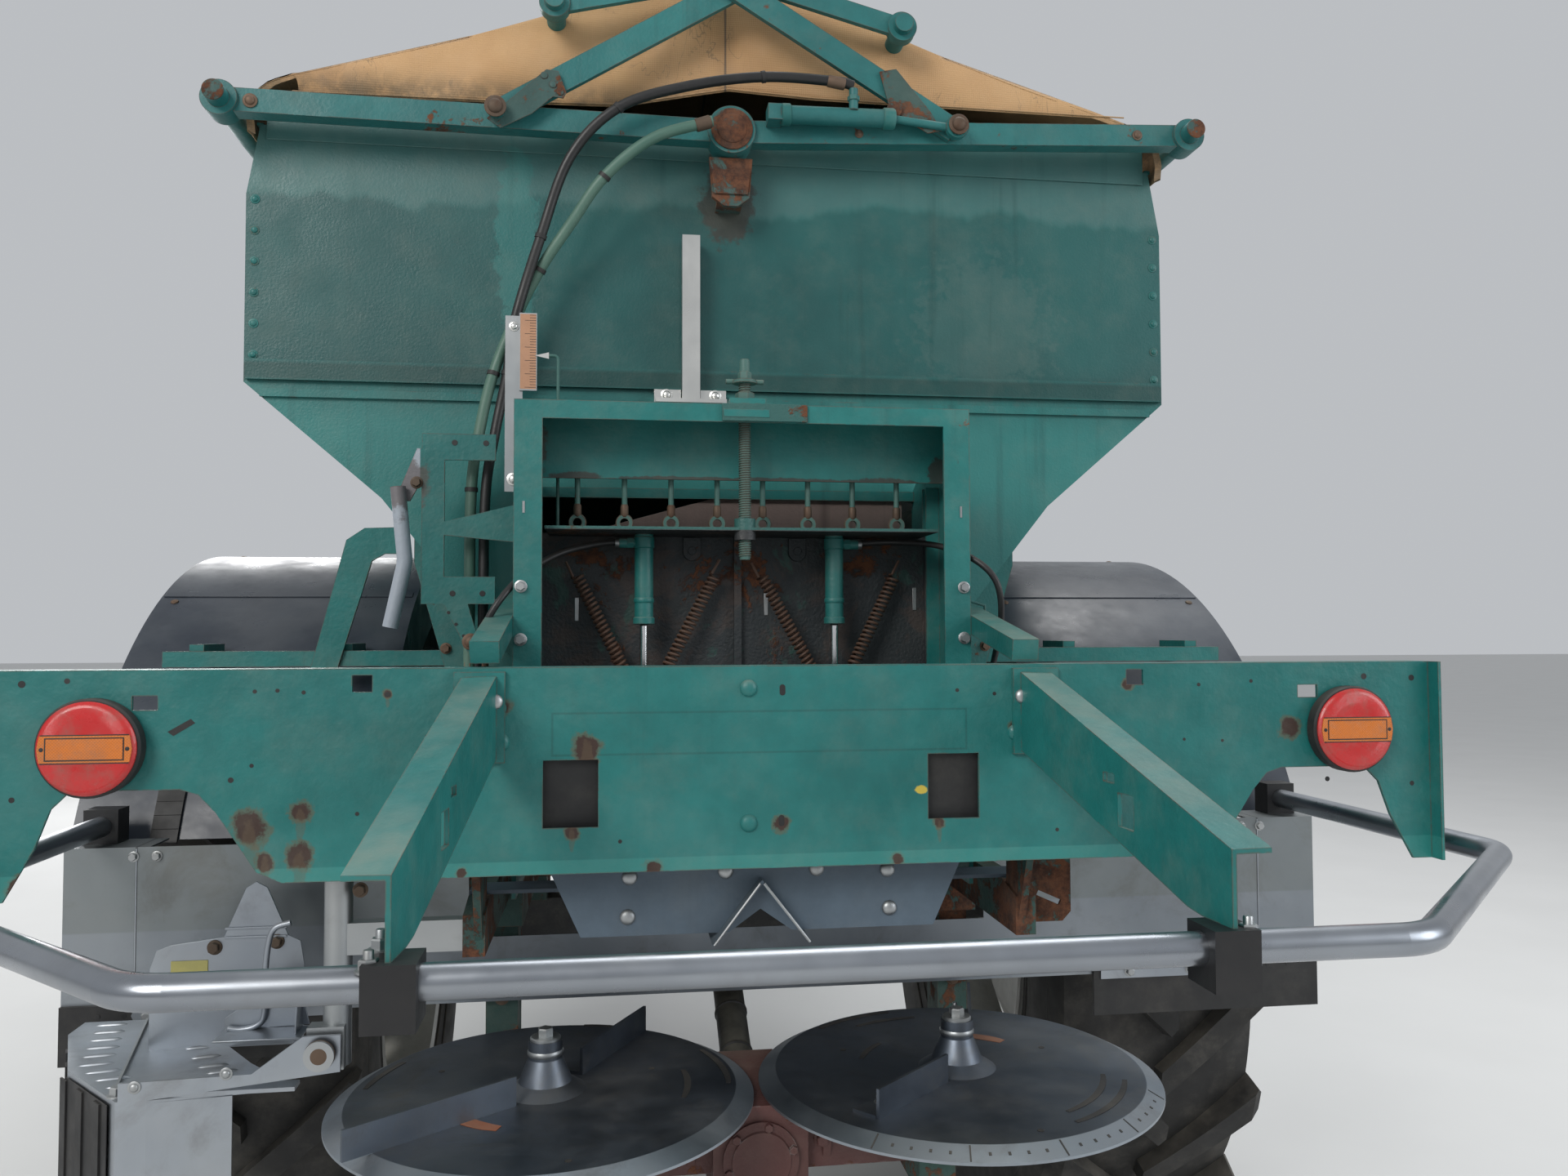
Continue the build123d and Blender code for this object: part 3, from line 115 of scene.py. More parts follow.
class Net:
    """A shader tree and short ways to add nodes to it."""

    def __init__(self, tree):
        self.tree = tree

    def add(self, kind, ins=None, **props):
        made = self.tree.nodes.new(kind)
        for key, value in props.items():
            setattr(made, key, value)
        for key, value in (ins or {}).items():
            self.put(made.inputs[key], value)
        return made

    def node(self, kind, ins=None, **props):
        return self.add("ShaderNode" + kind, ins, **props)

    def put(self, socket, value):
        if isinstance(value, bpy.types.NodeSocket):
            self.tree.links.new(value, socket)
        elif isinstance(value, tuple) and len(value) == 3 and socket.type == "RGBA":
            socket.default_value = (*value, 1)
        else:
            socket.default_value = value

    def noise(self, vector, scale, detail=3, rough=0.55, warp=0.0):
        return self.node("TexNoise", {"Vector": vector, "Scale": scale, "Detail": detail, "Roughness": rough,
                                      "Distortion": warp}).outputs["Fac"]

    def vector(self, how, *values, out="Vector"):
        return self.node("VectorMath", dict(enumerate(values)), operation=how).outputs[out]

    def stretch(self, vector, x, y, z):
        return self.vector("MULTIPLY", vector, (x, y, z))

    def length(self, vector):
        return self.vector("LENGTH", vector, out="Value")

    def shaded(self, colour, shade):
        return self.node("VectorMath", {0: colour, "Scale": shade}, operation="SCALE").outputs[0]

    def step(self, value, low, high, out_low=0.0, out_high=1.0):
        return self.node("MapRange", {"Value": value, "From Min": low, "From Max": high, "To Min": out_low,
                                      "To Max": out_high}, interpolation_type="SMOOTHSTEP").outputs[0]

    def math(self, how, *values, clamp=False):
        return self.node("Math", dict(enumerate(values)), operation=how, use_clamp=clamp).outputs[0]

    def times(self, *values):
        out = values[0]
        for value in values[1:]:
            out = self.math("MULTIPLY", out, value)
        return out

    def most(self, values):
        out = values[0]
        for value in values[1:]:
            out = self.math("MAXIMUM", out, value)
        return out

    def gap(self, value, middle):
        """How far value lies from middle, on either side."""
        return self.math("ABSOLUTE", self.math("SUBTRACT", value, middle))

    def mix(self, share, a, b):
        made = self.node("Mix", data_type="RGBA")
        self.put(made.inputs[0], share)
        self.put(made.inputs[6], a)
        self.put(made.inputs[7], b)
        return made.outputs[2]

    def tint(self, colour, tone, *shares):
        """Colour with tone laid over it, by the product of the shares."""
        return self.mix(self.times(*shares), colour, tone)

    def parts(self, vector):
        return self.node("SeparateXYZ", {0: vector}).outputs

    def near(self, vector, place, size, ragged=0.5):
        """1 at place, falling to 0 at size (x, y, z) from it, with a ragged edge."""
        far = self.length(self.stretch(self.vector("SUBTRACT", vector, tuple(place)), *[1 / s for s in size]))
        far = self.math("MULTIPLY_ADD", self.noise(vector, 38, 4, 0.7), ragged * 2, far)
        return self.step(far, 0.75 + ragged, 1.05 + ragged, 1.0, 0.0)

    def use(self, tree, **ins):
        made = self.node("Group")
        made.node_tree = tree
        for key, value in ins.items():
            self.put(made.inputs[key], value)
        return made.outputs


def shader_group(name, inputs, outputs, build):
    tree = bpy.data.node_groups.new(name, "ShaderNodeTree")
    for label, kind, value in inputs:
        socket = tree.interface.new_socket(label, in_out="INPUT", socket_type="NodeSocket" + kind)
        if kind != "Vector":
            socket.default_value = value
    for label, kind in outputs:
        tree.interface.new_socket(label, in_out="OUTPUT", socket_type="NodeSocket" + kind)
    net = Net(tree)
    results = build(net, tree.nodes.new("NodeGroupInput").outputs)
    end = tree.nodes.new("NodeGroupOutput")
    for label, value in results.items():
        net.put(end.inputs[label], value)
    return tree


def build_wear(net, ins):
    """Paint rubbed off along edges, broken up by noise."""
    bevel = net.node("Bevel", {"Radius": ins["Radius"]}, samples=4).outputs[0]
    same = net.vector("DOT_PRODUCT", bevel, net.node("NewGeometry").outputs["Normal"], out="Value")
    limit = net.math("SUBTRACT", 1.0, ins["Amount"], clamp=True)
    rubbed = net.step(net.noise(ins["Vector"], 22, 5, 0.7), limit, net.math("ADD", limit, 0.12, clamp=True))
    return {"Mask": net.times(net.step(same, 0.93, 0.75), rubbed)}


def build_rust(net, ins):
    """Rust blooms with a mottled colour and a rough skin."""
    fine = net.noise(ins["Vector"], 60, 4, 0.7)
    field = net.math("MULTIPLY_ADD", fine, 0.22, net.noise(ins["Vector"], 4.5, 6, 0.68, 0.6))
    limit = net.math("MULTIPLY_ADD", ins["Cover"], -0.5, 0.9)
    mask = net.step(field, limit, net.math("ADD", limit, 0.05, clamp=True))
    mottle = net.step(net.noise(ins["Vector"], 30, 5, 0.75), 0.35, 0.65)
    return {"Mask": mask, "Colour": net.mix(mottle, (0.040, 0.018, 0.012), (0.135, 0.052, 0.024)), "Height": fine}


def build_dust(net, ins):
    """Dust that lies on faces that look up, thicker in patches."""
    up = net.parts(net.node("NewGeometry").outputs["Normal"])["Z"]
    patch = net.step(net.noise(ins["Vector"], 3.2, 5, 0.65), 0.32, 0.68)
    film = net.times(net.step(net.noise(ins["Vector"], 9, 6, 0.7), 0.42, 0.78), 0.35)
    whole = net.math("ADD", net.times(net.step(up, 0.15, 0.9), patch), film, clamp=True)
    return {"Mask": net.times(whole, ins["Amount"])}


def build_runs(net, ins):
    """Streaks that water leaves on upright faces."""
    tall = net.stretch(ins["Vector"], 26, 26, 1.1)
    line = net.step(net.noise(tall, 1.0, 4, 0.6, 0.3), 0.52, 0.72)
    return {"Mask": net.times(line, net.step(net.noise(ins["Vector"], 1.4, 3, 0.5), 0.42, 0.62))}


def build_grain(net, ins):
    """Fine unevenness of a painted or cast skin."""
    peel = net.noise(ins["Vector"], ins["Scale"], 2, 0.5)
    return {"Height": net.math("MULTIPLY_ADD", net.noise(ins["Vector"], 7, 3, 0.5), 0.6, peel)}


VECTOR = ("Vector", "Vector", None)
WEAR = shader_group("edge_wear", [VECTOR, ("Radius", "Float", 0.004), ("Amount", "Float", 0.5)],
                    [("Mask", "Float")], build_wear)
RUST = shader_group("rust", [VECTOR, ("Cover", "Float", 0.3)],
                    [("Mask", "Float"), ("Colour", "Color"), ("Height", "Float")], build_rust)
DUST = shader_group("dust", [VECTOR, ("Amount", "Float", 0.4)], [("Mask", "Float")], build_dust)
RUNS = shader_group("water_runs", [VECTOR], [("Mask", "Float")], build_runs)
GRAIN = shader_group("grain", [VECTOR, ("Scale", "Float", 160.0)], [("Height", "Float")], build_grain)
MAT = {}


def surface(name):
    """New material, kept in MAT: its net, its Principled shader and its Object coordinates."""
    material = bpy.data.materials.new(name)
    material.use_nodes = True
    MAT[name] = material
    net = Net(material.node_tree)
    return net, material.node_tree.nodes["Principled BSDF"], net.node("TexCoord").outputs["Object"]


def cover(net, shader, colour, roughness, height, strength, distance):
    """Links colour, roughness and a bump of this height to the shader."""
    net.put(shader.inputs["Base Color"], colour)
    net.put(shader.inputs["Roughness"], roughness)
    bump = net.node("Bump", {"Height": height, "Strength": strength, "Distance": distance})
    net.put(shader.inputs["Normal"], bump.outputs[0])


def paint(name, tones, rough=0.42, chips=0.5, rusty=0.2, dust=0.35, peel=0.25, runs=0.35,
          bare=(0.10, 0.055, 0.035), peel_scale=160.0, local=None):
    """Painted steel: two tones, water runs, rust, worn edges, dust."""
    net, shader, co = surface(name)
    colour = net.mix(net.step(net.noise(co, 1.3, 4, 0.6), 0.3, 0.7), *tones)
    colour = net.shaded(colour, net.step(net.noise(co, 17, 5, 0.65), 0.25, 0.8, 0.86, 1.08))
    if local:
        colour = local(net, co, colour)
    colour = net.tint(colour, tuple(0.45 * t for t in tones[0]), net.use(RUNS, Vector=co)["Mask"], runs)
    rust = net.use(RUST, Vector=co, Cover=rusty)
    worn = net.use(WEAR, Vector=co, Radius=0.004, Amount=chips)["Mask"]
    colour = net.mix(rust["Mask"], net.mix(worn, colour, bare), rust["Colour"])
    dusty = net.use(DUST, Vector=co, Amount=dust)["Mask"]
    dull = net.most([rust["Mask"], dusty, net.times(worn, 0.6)])
    smear = net.step(net.noise(co, 11, 5, 0.6), 0.2, 0.8, rough - 0.08, rough + 0.14)
    grain = net.use(GRAIN, Vector=co, Scale=peel_scale)["Height"]
    height = net.math("MULTIPLY_ADD", net.times(rust["Mask"], rust["Height"]), 1.4, grain)
    cover(net, shader, net.mix(dusty, colour, (0.30, 0.28, 0.22)),
          net.math("MULTIPLY_ADD", dull, 0.4, smear, clamp=True), height, peel, 0.0015)


def metal(name, tones, rough=0.35, brushed=(1, 1, 1), dust=0.2, stain=0.25, scratch=0.2, local=None,
          stain_tone=(0.12, 0.10, 0.07)):
    """Bare metal: brushed grain along one axis, stains, dust."""
    net, shader, co = surface(name)
    colour = net.mix(net.step(net.noise(co, 2.3, 4, 0.6), 0.3, 0.7), *tones)
    if local:
        colour = local(net, co, colour)
    dirt = net.times(net.step(net.noise(co, 6.5, 6, 0.7, 0.4), 0.5, 0.75), stain)
    dusty = net.use(DUST, Vector=co, Amount=dust)["Mask"]
    colour = net.mix(dusty, net.mix(dirt, colour, stain_tone), (0.33, 0.31, 0.27))
    shader.inputs["Metallic"].default_value = 1.0 if stain < 0.5 else 0.6
    wide = net.step(net.noise(co, 8, 4, 0.6), 0.25, 0.8, rough - 0.07, rough + 0.12)
    dull = net.math("ADD", dirt, dusty, clamp=True)
    cover(net, shader, colour, net.math("MULTIPLY_ADD", dull, 0.35, wide, clamp=True),
          net.noise(net.stretch(co, *brushed), 60, 3, 0.6), scratch, 0.0006)


def soft_black(name, tones, rough=0.7, grain=90.0, dust=0.3, bump=0.25, dust_and_reflection_tone=(0.20, 0.18, 0.15)):
    """Rubber or plastic with a fine grain and dust; on the mudguards the dust tone is also a painted sky reflection."""
    net, shader, co = surface(name)
    colour = net.mix(net.step(net.noise(co, 5, 5, 0.6), 0.3, 0.7), *tones)
    colour = net.mix(net.use(DUST, Vector=co, Amount=dust)["Mask"], colour, dust_and_reflection_tone)
    cover(net, shader, colour, net.step(net.noise(co, 13, 4, 0.6), 0.2, 0.8, rough - 0.1, rough + 0.12),
          net.use(GRAIN, Vector=co, Scale=grain)["Height"], bump, 0.001)


def cloth(name):
    """Coated tarpaulin: faded tan with damp stains, mildew, dust on top and a fine weave."""
    net, shader, co = surface(name)
    x, y, z = net.parts(co)
    tan = net.step(net.noise(co, 1.6, 5, 0.6, 0.4), 0.3, 0.7)
    colour = net.mix(tan, (0.42, 0.235, 0.105), (0.56, 0.345, 0.165))
    damp = net.step(net.noise(net.stretch(co, 1.0, 1.0, 0.5), 3.6, 6, 0.66, 0.5), 0.52, 0.70)
    colour = net.tint(colour, (0.27, 0.15, 0.07), damp, 0.5)
    spots = net.step(net.noise(co, 34, 6, 0.8), 0.60, 0.72)
    patch = net.step(net.noise(co, 2.7, 4, 0.6), 0.45, 0.65)
    colour = net.tint(colour, (0.085, 0.075, 0.045), spots, patch, 0.75)
    hem = net.step(z, BAR_Z + 1.185, BAR_Z + 1.12)
    colour = net.tint(colour, (0.10, 0.080, 0.050), hem, net.step(net.noise(co, 14, 6, 0.75), 0.3, 0.6), 0.75)
    middle = net.gap(x, -0.007)
    wander = net.math("MULTIPLY_ADD", net.noise(co, 5, 2), 0.004, middle)
    colour = net.tint(colour, (0.055, 0.05, 0.045), net.step(wander, 0.0035, 0.0055, 1.0, 0.0), 0.8)
    colour = net.tint(colour, (0.20, 0.12, 0.06), net.step(middle, 0.030, 0.004), 0.22)
    creased = net.noise(net.stretch(co, 7.0, 7.0, 1.9), 2.1, 3, 0.5, 2.2)
    streak = net.step(net.gap(creased, 0.5), 0.0, 0.010, 1.0, 0.0)
    colour = net.tint(colour, (0.13, 0.10, 0.065), streak, net.step(net.noise(co, 3.3, 3), 0.52, 0.62), 0.55)
    colour = net.mix(net.use(DUST, Vector=co, Amount=0.30)["Mask"], colour, (0.42, 0.34, 0.24))
    shader.inputs["Sheen Weight"].default_value = 0.12
    weave = net.math("MULTIPLY_ADD", *[net.math("SINE", net.times(part, 1400.0)) for part in (x, y, z)])
    cover(net, shader, colour, net.step(net.noise(co, 12, 4, 0.6), 0.3, 0.7, 0.62, 0.84),
          net.math("MULTIPLY_ADD", net.noise(co, 26, 4, 0.6), 5.0, weave), 0.22, 0.0009)


def lens(name, tone, ribbed):
    """Lamp glass with rings of ribs, or with a fine grid of lenses."""
    net, shader, co = surface(name)
    x, y, z = net.parts(co)
    if ribbed:
        # Counted from the middle of the lamp on either side
        side = net.math("SUBTRACT", net.math("ABSOLUTE", x), LAMP_X)
        height = net.math("SUBTRACT", z, BAR_Z + LAMP_Z)
        far = net.length(net.node("CombineXYZ", {0: side, 2: height}).outputs[0])
        ribs = net.math("SINE", net.times(net.math("ARCTAN2", height, side), 150.0))
        wave = net.math("ABSOLUTE", net.times(net.step(far, 0.040, 0.046, 0.25, 1.0), ribs))
    else:
        wave = net.times(*[net.math("SINE", net.times(part, 1500.0)) for part in (x, z)])
    colour = net.shaded(tone, net.step(wave, -1.0, 1.0, 0.80, 1.04))
    dirty = net.step(net.noise(co, 26, 5, 0.7), 0.42, 0.8, 0.0, 0.5)
    shader.inputs["Coat Weight"].default_value = 0.35
    cover(net, shader, net.mix(dirty, colour, (0.16, 0.13, 0.10)),
          net.step(net.noise(co, 30, 4), 0.3, 0.7, 0.16, 0.34), wave, 0.25, 0.0006)


RUST_TONE = (0.040, 0.020, 0.014)
# Rust blooms on the crossbar: x, z, radius
BAR_RUST = [(-0.744, -0.227, 0.025), (-0.675, -0.204, 0.014), (-0.676, -0.267, 0.019), (-0.723, -0.277, 0.013),
            (-0.556, -0.038, 0.007), (-0.268, -0.122, 0.020), (-0.291, -0.246, 0.009), (0.27, -0.245, 0.009),
            (0.023, -0.238, 0.012), (-0.171, -0.300, 0.012), (0.204, -0.299, 0.010), (0.854, -0.105, 0.016),
            (0.579, -0.034, 0.009), (-0.395, -0.06, 0.014), (0.394, -0.10, 0.011), (-1.05, -0.30, 0.014),
            (0.64, -0.30, 0.009), (-0.45, -0.30, 0.009), (0.98, -0.285, 0.013)]


def bar_marks(net, co, colour):
    """Rust blooms, the faint outline of a former plate and a scrap of yellow on the crossbar."""
    x, y, z = net.parts(co)
    colour = net.tint(colour, (0.05, 0.20, 0.19), net.step(net.noise(co, 3.1, 5, 0.65), 0.52, 0.62), 0.25)
    # The plate's outline: distance from the edge of a rectangle
    beside = net.math("SUBTRACT", net.gap(x, -0.003), 0.317)
    above = net.math("SUBTRACT", net.gap(z, 1.50), 0.031)
    off = net.math("ABSOLUTE", net.math("MAXIMUM", beside, above))
    face = net.step(y, BAR_Y + 0.004, BAR_Y + 0.006, 1.0, 0.0)
    colour = net.tint(colour, (0.008, 0.06, 0.055), net.step(off, 0.0008, 0.0024, 1.0, 0.0), face, 0.4)
    halo = net.most([net.near(co, at(px, 0, pz), (1.35 * r, 0.2, 1.35 * r), 0.9) for px, pz, r in BAR_RUST])
    colour = net.tint(colour, (0.10, 0.085, 0.045), halo, 0.65)
    colour = net.tint(colour, (0.050, 0.270, 0.240), net.step(z, BAR_Z - 0.2845, BAR_Z - 0.2865), face, 0.40)
    spots = net.most([net.near(co, at(px, 0, pz), (r, 0.2, r), 0.9) for px, pz, r in BAR_RUST])
    colour = net.mix(spots, colour, RUST_TONE)
    under = net.most([net.near(co, at(px, 0, pz - 1.3 * r), (0.5 * r, 0.2, 1.9 * r), 0.8)
                      for px, pz, r in BAR_RUST[:8]])
    colour = net.tint(colour, (0.11, 0.075, 0.04), under, 0.35)
    return net.mix(net.near(co, at(0.240, 0, -0.193), (0.012, 0.2, 0.007), 0.8), colour, (0.55, 0.42, 0.06))


def gate_marks(net, co, colour):
    """Damp brown and faded green patches on the gate's dark plate."""
    x, y, z = net.parts(co)
    brown = net.step(net.noise(co, 9, 5, 0.7, 0.5), 0.50, 0.62)
    colour = net.tint(colour, (0.055, 0.038, 0.032), brown, 0.7)
    faded = net.step(net.noise(net.stretch(co, 1, 1, 0.8), 13, 5, 0.65, 0.3), 0.60, 0.68)
    colour = net.tint(colour, (0.020, 0.095, 0.075), faded, 0.55)
    return net.tint(colour, (0.025, 0.130, 0.115), net.step(z, BAR_Z + 0.2315, BAR_Z + 0.2330),
                    net.step(y, BAR_Y + 0.32, BAR_Y + 0.29), 0.75)


def frame_marks(net, co, colour):
    """Bare dark rust in the upper corners of the gate frame and at its nut plate."""
    corners = net.most([net.near(co, at(px, 0.36, pz), (rx, 0.09, rz), 0.9)
                        for px, pz, rx, rz in ((-0.375, 0.385, 0.030, 0.055), (0.372, 0.350, 0.022, 0.030),
                                               (-0.30, 0.332, 0.05, 0.010), (0.27, 0.330, 0.06, 0.009),
                                               (0.0, 0.330, 0.30, 0.006))])
    return net.tint(colour, (0.035, 0.030, 0.026), corners, 0.85)


def lever_marks(net, co, colour):
    """The lever beside the hose bracket is bare grey and worn at its joint."""
    x, y, z = net.parts(co)
    colour = net.tint(colour, (0.33, 0.37, 0.42), net.step(x, -0.593, -0.595),
                      net.step(z, BAR_Z + 0.02, BAR_Z + 0.03))
    return net.tint(colour, (0.070, 0.040, 0.032), net.near(co, at(-0.625, 0.50, 0.33), (0.05, 0.2, 0.06), 0.7), 0.7)


def disc_marks(net, co, colour):
    """The discs' turned-down rims are paler than their worn, dusty faces."""
    x, y, z = net.parts(co)
    side = net.math("SUBTRACT", net.math("ABSOLUTE", x), DISC_X)
    back = net.math("SUBTRACT", y, BAR_Y + DISC_BACK)
    far = net.length(net.node("CombineXYZ", {0: side, 1: back}).outputs[0])
    colour = net.tint(colour, (0.36, 0.40, 0.44), net.step(far, 0.300, 0.303),
                      net.step(z, BAR_Z - 0.6688, BAR_Z - 0.6696), 0.85)
    swirl = net.step(net.noise(co, 12, 5, 0.7, 1.5), 0.45, 0.7)
    return net.tint(colour, (0.16, 0.17, 0.18), net.step(far, 0.300, 0.295), swirl, 0.45)


def wall_stains_and_painted_light(net, co, colour):
    """The rear wall: damp dark upper field with a ragged top, a painted shadow band under the ledge and a painted
    lighter foot where more light falls.
    """
    x, y, z = net.parts(co)
    wave = net.noise(net.stretch(co, 1, 1, 0.35), 3.0, 5, 0.6)
    upper = net.step(net.math("MULTIPLY_ADD", wave, -0.20, z), 2.425, 2.450)
    field = net.times(net.math("SUBTRACT", 1.0, upper, clamp=True), net.step(z, 2.165, 2.20))
    dark = net.mix(net.step(net.noise(co, 2.2, 5, 0.6), 0.35, 0.65), (0.007, 0.066, 0.064), (0.012, 0.095, 0.090))
    colour = net.tint(colour, dark, field, 0.9)
    colour = net.tint(colour, (0.065, 0.135, 0.130), upper, 0.60)
    for place, size, ragged, share, tone in (
            ((0.55, 0.63, 0.70), (0.16, 0.3, 0.17), 0.9, 0.35, (0.060, 0.125, 0.115)),
            ((-0.43, 0.63, 0.86), (0.045, 0.3, 0.20), 0.8, 0.45, (0.025, 0.200, 0.185))):
        colour = net.tint(colour, tone, net.near(co, at(*place), size, ragged), share)
    # Painted shadow: a dark band where the ledge shades the wall below it
    colour = net.tint(colour, (0.004, 0.035, 0.032), net.step(z, 2.145, 2.155),
                      net.step(z, 2.180, 2.190, 1.0, 0.0), 0.75)
    # Painted light: the foot of the wall is made paler, as if it caught more light
    colour = net.tint(colour, (0.030, 0.20, 0.185), net.step(z, 2.14, 2.05), 0.55)
    return net.tint(colour, RUST_TONE, net.near(co, at(0, 0.63, 0.95), (0.06, 0.3, 0.10), 0.7), 0.7)


def shield_marks(net, co, colour):
    """Darker upper sheet, paler strip at the foot, a faint seam."""
    x, y, z = net.parts(co)
    upper = net.math("SUBTRACT", 1.0, net.step(z, 1.115, 1.110), clamp=True)
    colour = net.tint(colour, (0.20, 0.22, 0.21), upper, 0.5)
    off = net.gap(net.math("ABSOLUTE", x), 1.087)
    return net.tint(colour, (0.05, 0.05, 0.05), net.step(off, 0.001, 0.003, 1.0, 0.0), 0.6)


GREEN = ((0.008, 0.130, 0.122), (0.014, 0.170, 0.158))
TEAL = ((0.010, 0.120, 0.112), (0.018, 0.165, 0.152))
# Painted finishes: two tones, then rough, chips, rusty, dust, peel and runs
paint("bar_paint", GREEN, 0.38, 0.62, 0.10, 0.30, 0.75, 0.20, peel_scale=85.0, local=bar_marks)
paint("green", GREEN, 0.40, 0.62, 0.20, 0.40, 0.45, 0.25, peel_scale=110.0)
paint("gate_frame", GREEN, 0.40, 0.62, 0.16, 0.40, 0.45, 0.35, peel_scale=110.0, local=frame_marks)
paint("bracket", GREEN, 0.42, 0.62, 0.18, 0.35, 0.45, 0.25, peel_scale=110.0, local=lever_marks)
paint("frame_green", TEAL, 0.5, 0.6, 0.30, 0.55, 0.4, 0.4)
paint("rail", ((0.014, 0.050, 0.044), (0.030, 0.085, 0.070)), 0.6, 0.6, 0.62, 0.4, 0.8, 0.4)
paint("hood_green", ((0.010, 0.115, 0.115), (0.02, 0.165, 0.160)), 0.5, 0.62, 0.36, 0.30, 0.5, 0.4)
paint("wall", TEAL, 0.40, 0.45, 0.06, 0.25, 0.30, 0.45, peel_scale=220.0, local=wall_stains_and_painted_light)
paint("hopper", TEAL, 0.42, 0.5, 0.16, 0.35, 0.25, 0.5, peel_scale=220.0)
paint("gate_rust", ((0.014, 0.024, 0.028), (0.030, 0.032, 0.034)), 0.55, 0.4, 0.40, 0.12, 0.9, 0.3, local=gate_marks)
paint("dark_paint", ((0.012, 0.014, 0.015), (0.025, 0.026, 0.028)), 0.5, 0.5, 0.3, 0.5, 0.4, 0.2)
paint("drive", ((0.125, 0.045, 0.040), (0.075, 0.032, 0.028)), 0.62, 0.5, 0.36, 0.28, 0.8, 0.3,
      bare=(0.26, 0.22, 0.21))
paint("rim", ((0.50, 0.50, 0.48), (0.60, 0.60, 0.57)), 0.4, 0.4, 0.18, 0.5, 0.3, 0.3)
paint("funnel", ((0.060, 0.090, 0.125), (0.088, 0.125, 0.162)), 0.48, 0.4, 0.14, 0.22, 0.3, 0.3,
      bare=(0.16, 0.17, 0.18))
paint("sticker", ((0.36, 0.10, 0.035), (0.28, 0.085, 0.035)), 0.5, 0.3, 0.3, 0.4, 0.1, 0.1)
paint("sticker_pale", ((0.55, 0.50, 0.16), (0.62, 0.56, 0.22)), 0.5, 0.2, 0.1, 0.4, 0.1, 0.1)
paint("ruler", ((0.42, 0.215, 0.12), (0.50, 0.28, 0.17)), 0.5, 0.2, 0.08, 0.3, 0.1, 0.3)
paint("board", ((0.20, 0.145, 0.125), (0.28, 0.21, 0.185)), 0.65, 0.3, 0.18, 0.3, 0.4, 0.6)
paint("old_hood", ((0.022, 0.085, 0.080), (0.045, 0.075, 0.062)), 0.6, 0.7, 0.66, 0.25, 0.7, 0.3)
paint("spring", ((0.065, 0.034, 0.022), (0.11, 0.058, 0.036)), 0.6, 0.3, 0.25, 0.15, 0.4, 0.1)
paint("dusty_green", ((0.030, 0.115, 0.100), (0.060, 0.150, 0.130)), 0.55, 0.7, 0.34, 0.35, 0.4, 0.2)
# Bare metals: two tones, then rough, the grain's scale on each axis, dust, stain and scratch
metal("disc", ((0.105, 0.125, 0.155), (0.185, 0.215, 0.255)), 0.42, (1, 1, 1), 0.30, 0.42, 0.3, local=disc_marks)
metal("stainless", ((0.27, 0.29, 0.32), (0.36, 0.385, 0.42)), 0.30, (0.05, 1, 1), 0.12, 0.12, 0.25)
metal("shield", ((0.22, 0.245, 0.27), (0.30, 0.325, 0.35)), 0.42, (0.04, 1, 1), 0.2, 0.3, 0.2, local=shield_marks)
metal("limiter", ((0.30, 0.33, 0.37), (0.42, 0.45, 0.48)), 0.38, (1, 1, 0.1), 0.3, 0.3, 0.2)
metal("zinc", ((0.34, 0.36, 0.37), (0.46, 0.47, 0.47)), 0.42, (1, 1, 0.2), 0.25, 0.35, 0.2)
metal("chrome", ((0.75, 0.75, 0.75), (0.85, 0.85, 0.85)), 0.14, (1, 1, 0.1), 0.05, 0.05, 0.05)
metal("aluminium", ((0.62, 0.62, 0.60), (0.70, 0.70, 0.67)), 0.34, (1, 1, 0.05), 0.15, 0.2, 0.3)
metal("old_steel", ((0.10, 0.075, 0.055), (0.17, 0.11, 0.075)), 0.6, (1, 1, 1), 0.2, 0.65, 0.5,
      stain_tone=(0.11, 0.04, 0.02))
# Rubber and plastic: two tones, then rough, the grain's scale, dust and bump
soft_black("tyre", ((0.016, 0.016, 0.016), (0.030, 0.029, 0.027)), 0.75, 60.0, 0.75, 0.35)
soft_black("rubber", ((0.010, 0.010, 0.011), (0.018, 0.018, 0.018)), 0.6, 120.0, 0.35, 0.2)
# The mudguards' pale bluish dust tone on upward faces is painted sky reflection as well as dust
soft_black("mudguard", ((0.014, 0.020, 0.032), (0.024, 0.033, 0.048)), 0.34, 70.0, 0.30, 0.12, (0.15, 0.16, 0.17))
soft_black("hose", ((0.010, 0.010, 0.011), (0.016, 0.016, 0.016)), 0.45, 200.0, 0.15, 0.15)
soft_black("pipe", ((0.05, 0.13, 0.10), (0.09, 0.17, 0.13)), 0.5, 150.0, 0.15, 0.2)
soft_black("clamp", ((0.005, 0.005, 0.006), (0.010, 0.010, 0.011)), 0.45, 90.0, 0.10, 0.2)
soft_black("belt", ((0.02, 0.018, 0.016), (0.045, 0.038, 0.03)), 0.8, 50.0, 0.7, 0.3)
cloth("tarp")
lens("lens_red", (0.50, 0.012, 0.012), True)
lens("lens_amber", (0.62, 0.17, 0.02), False)

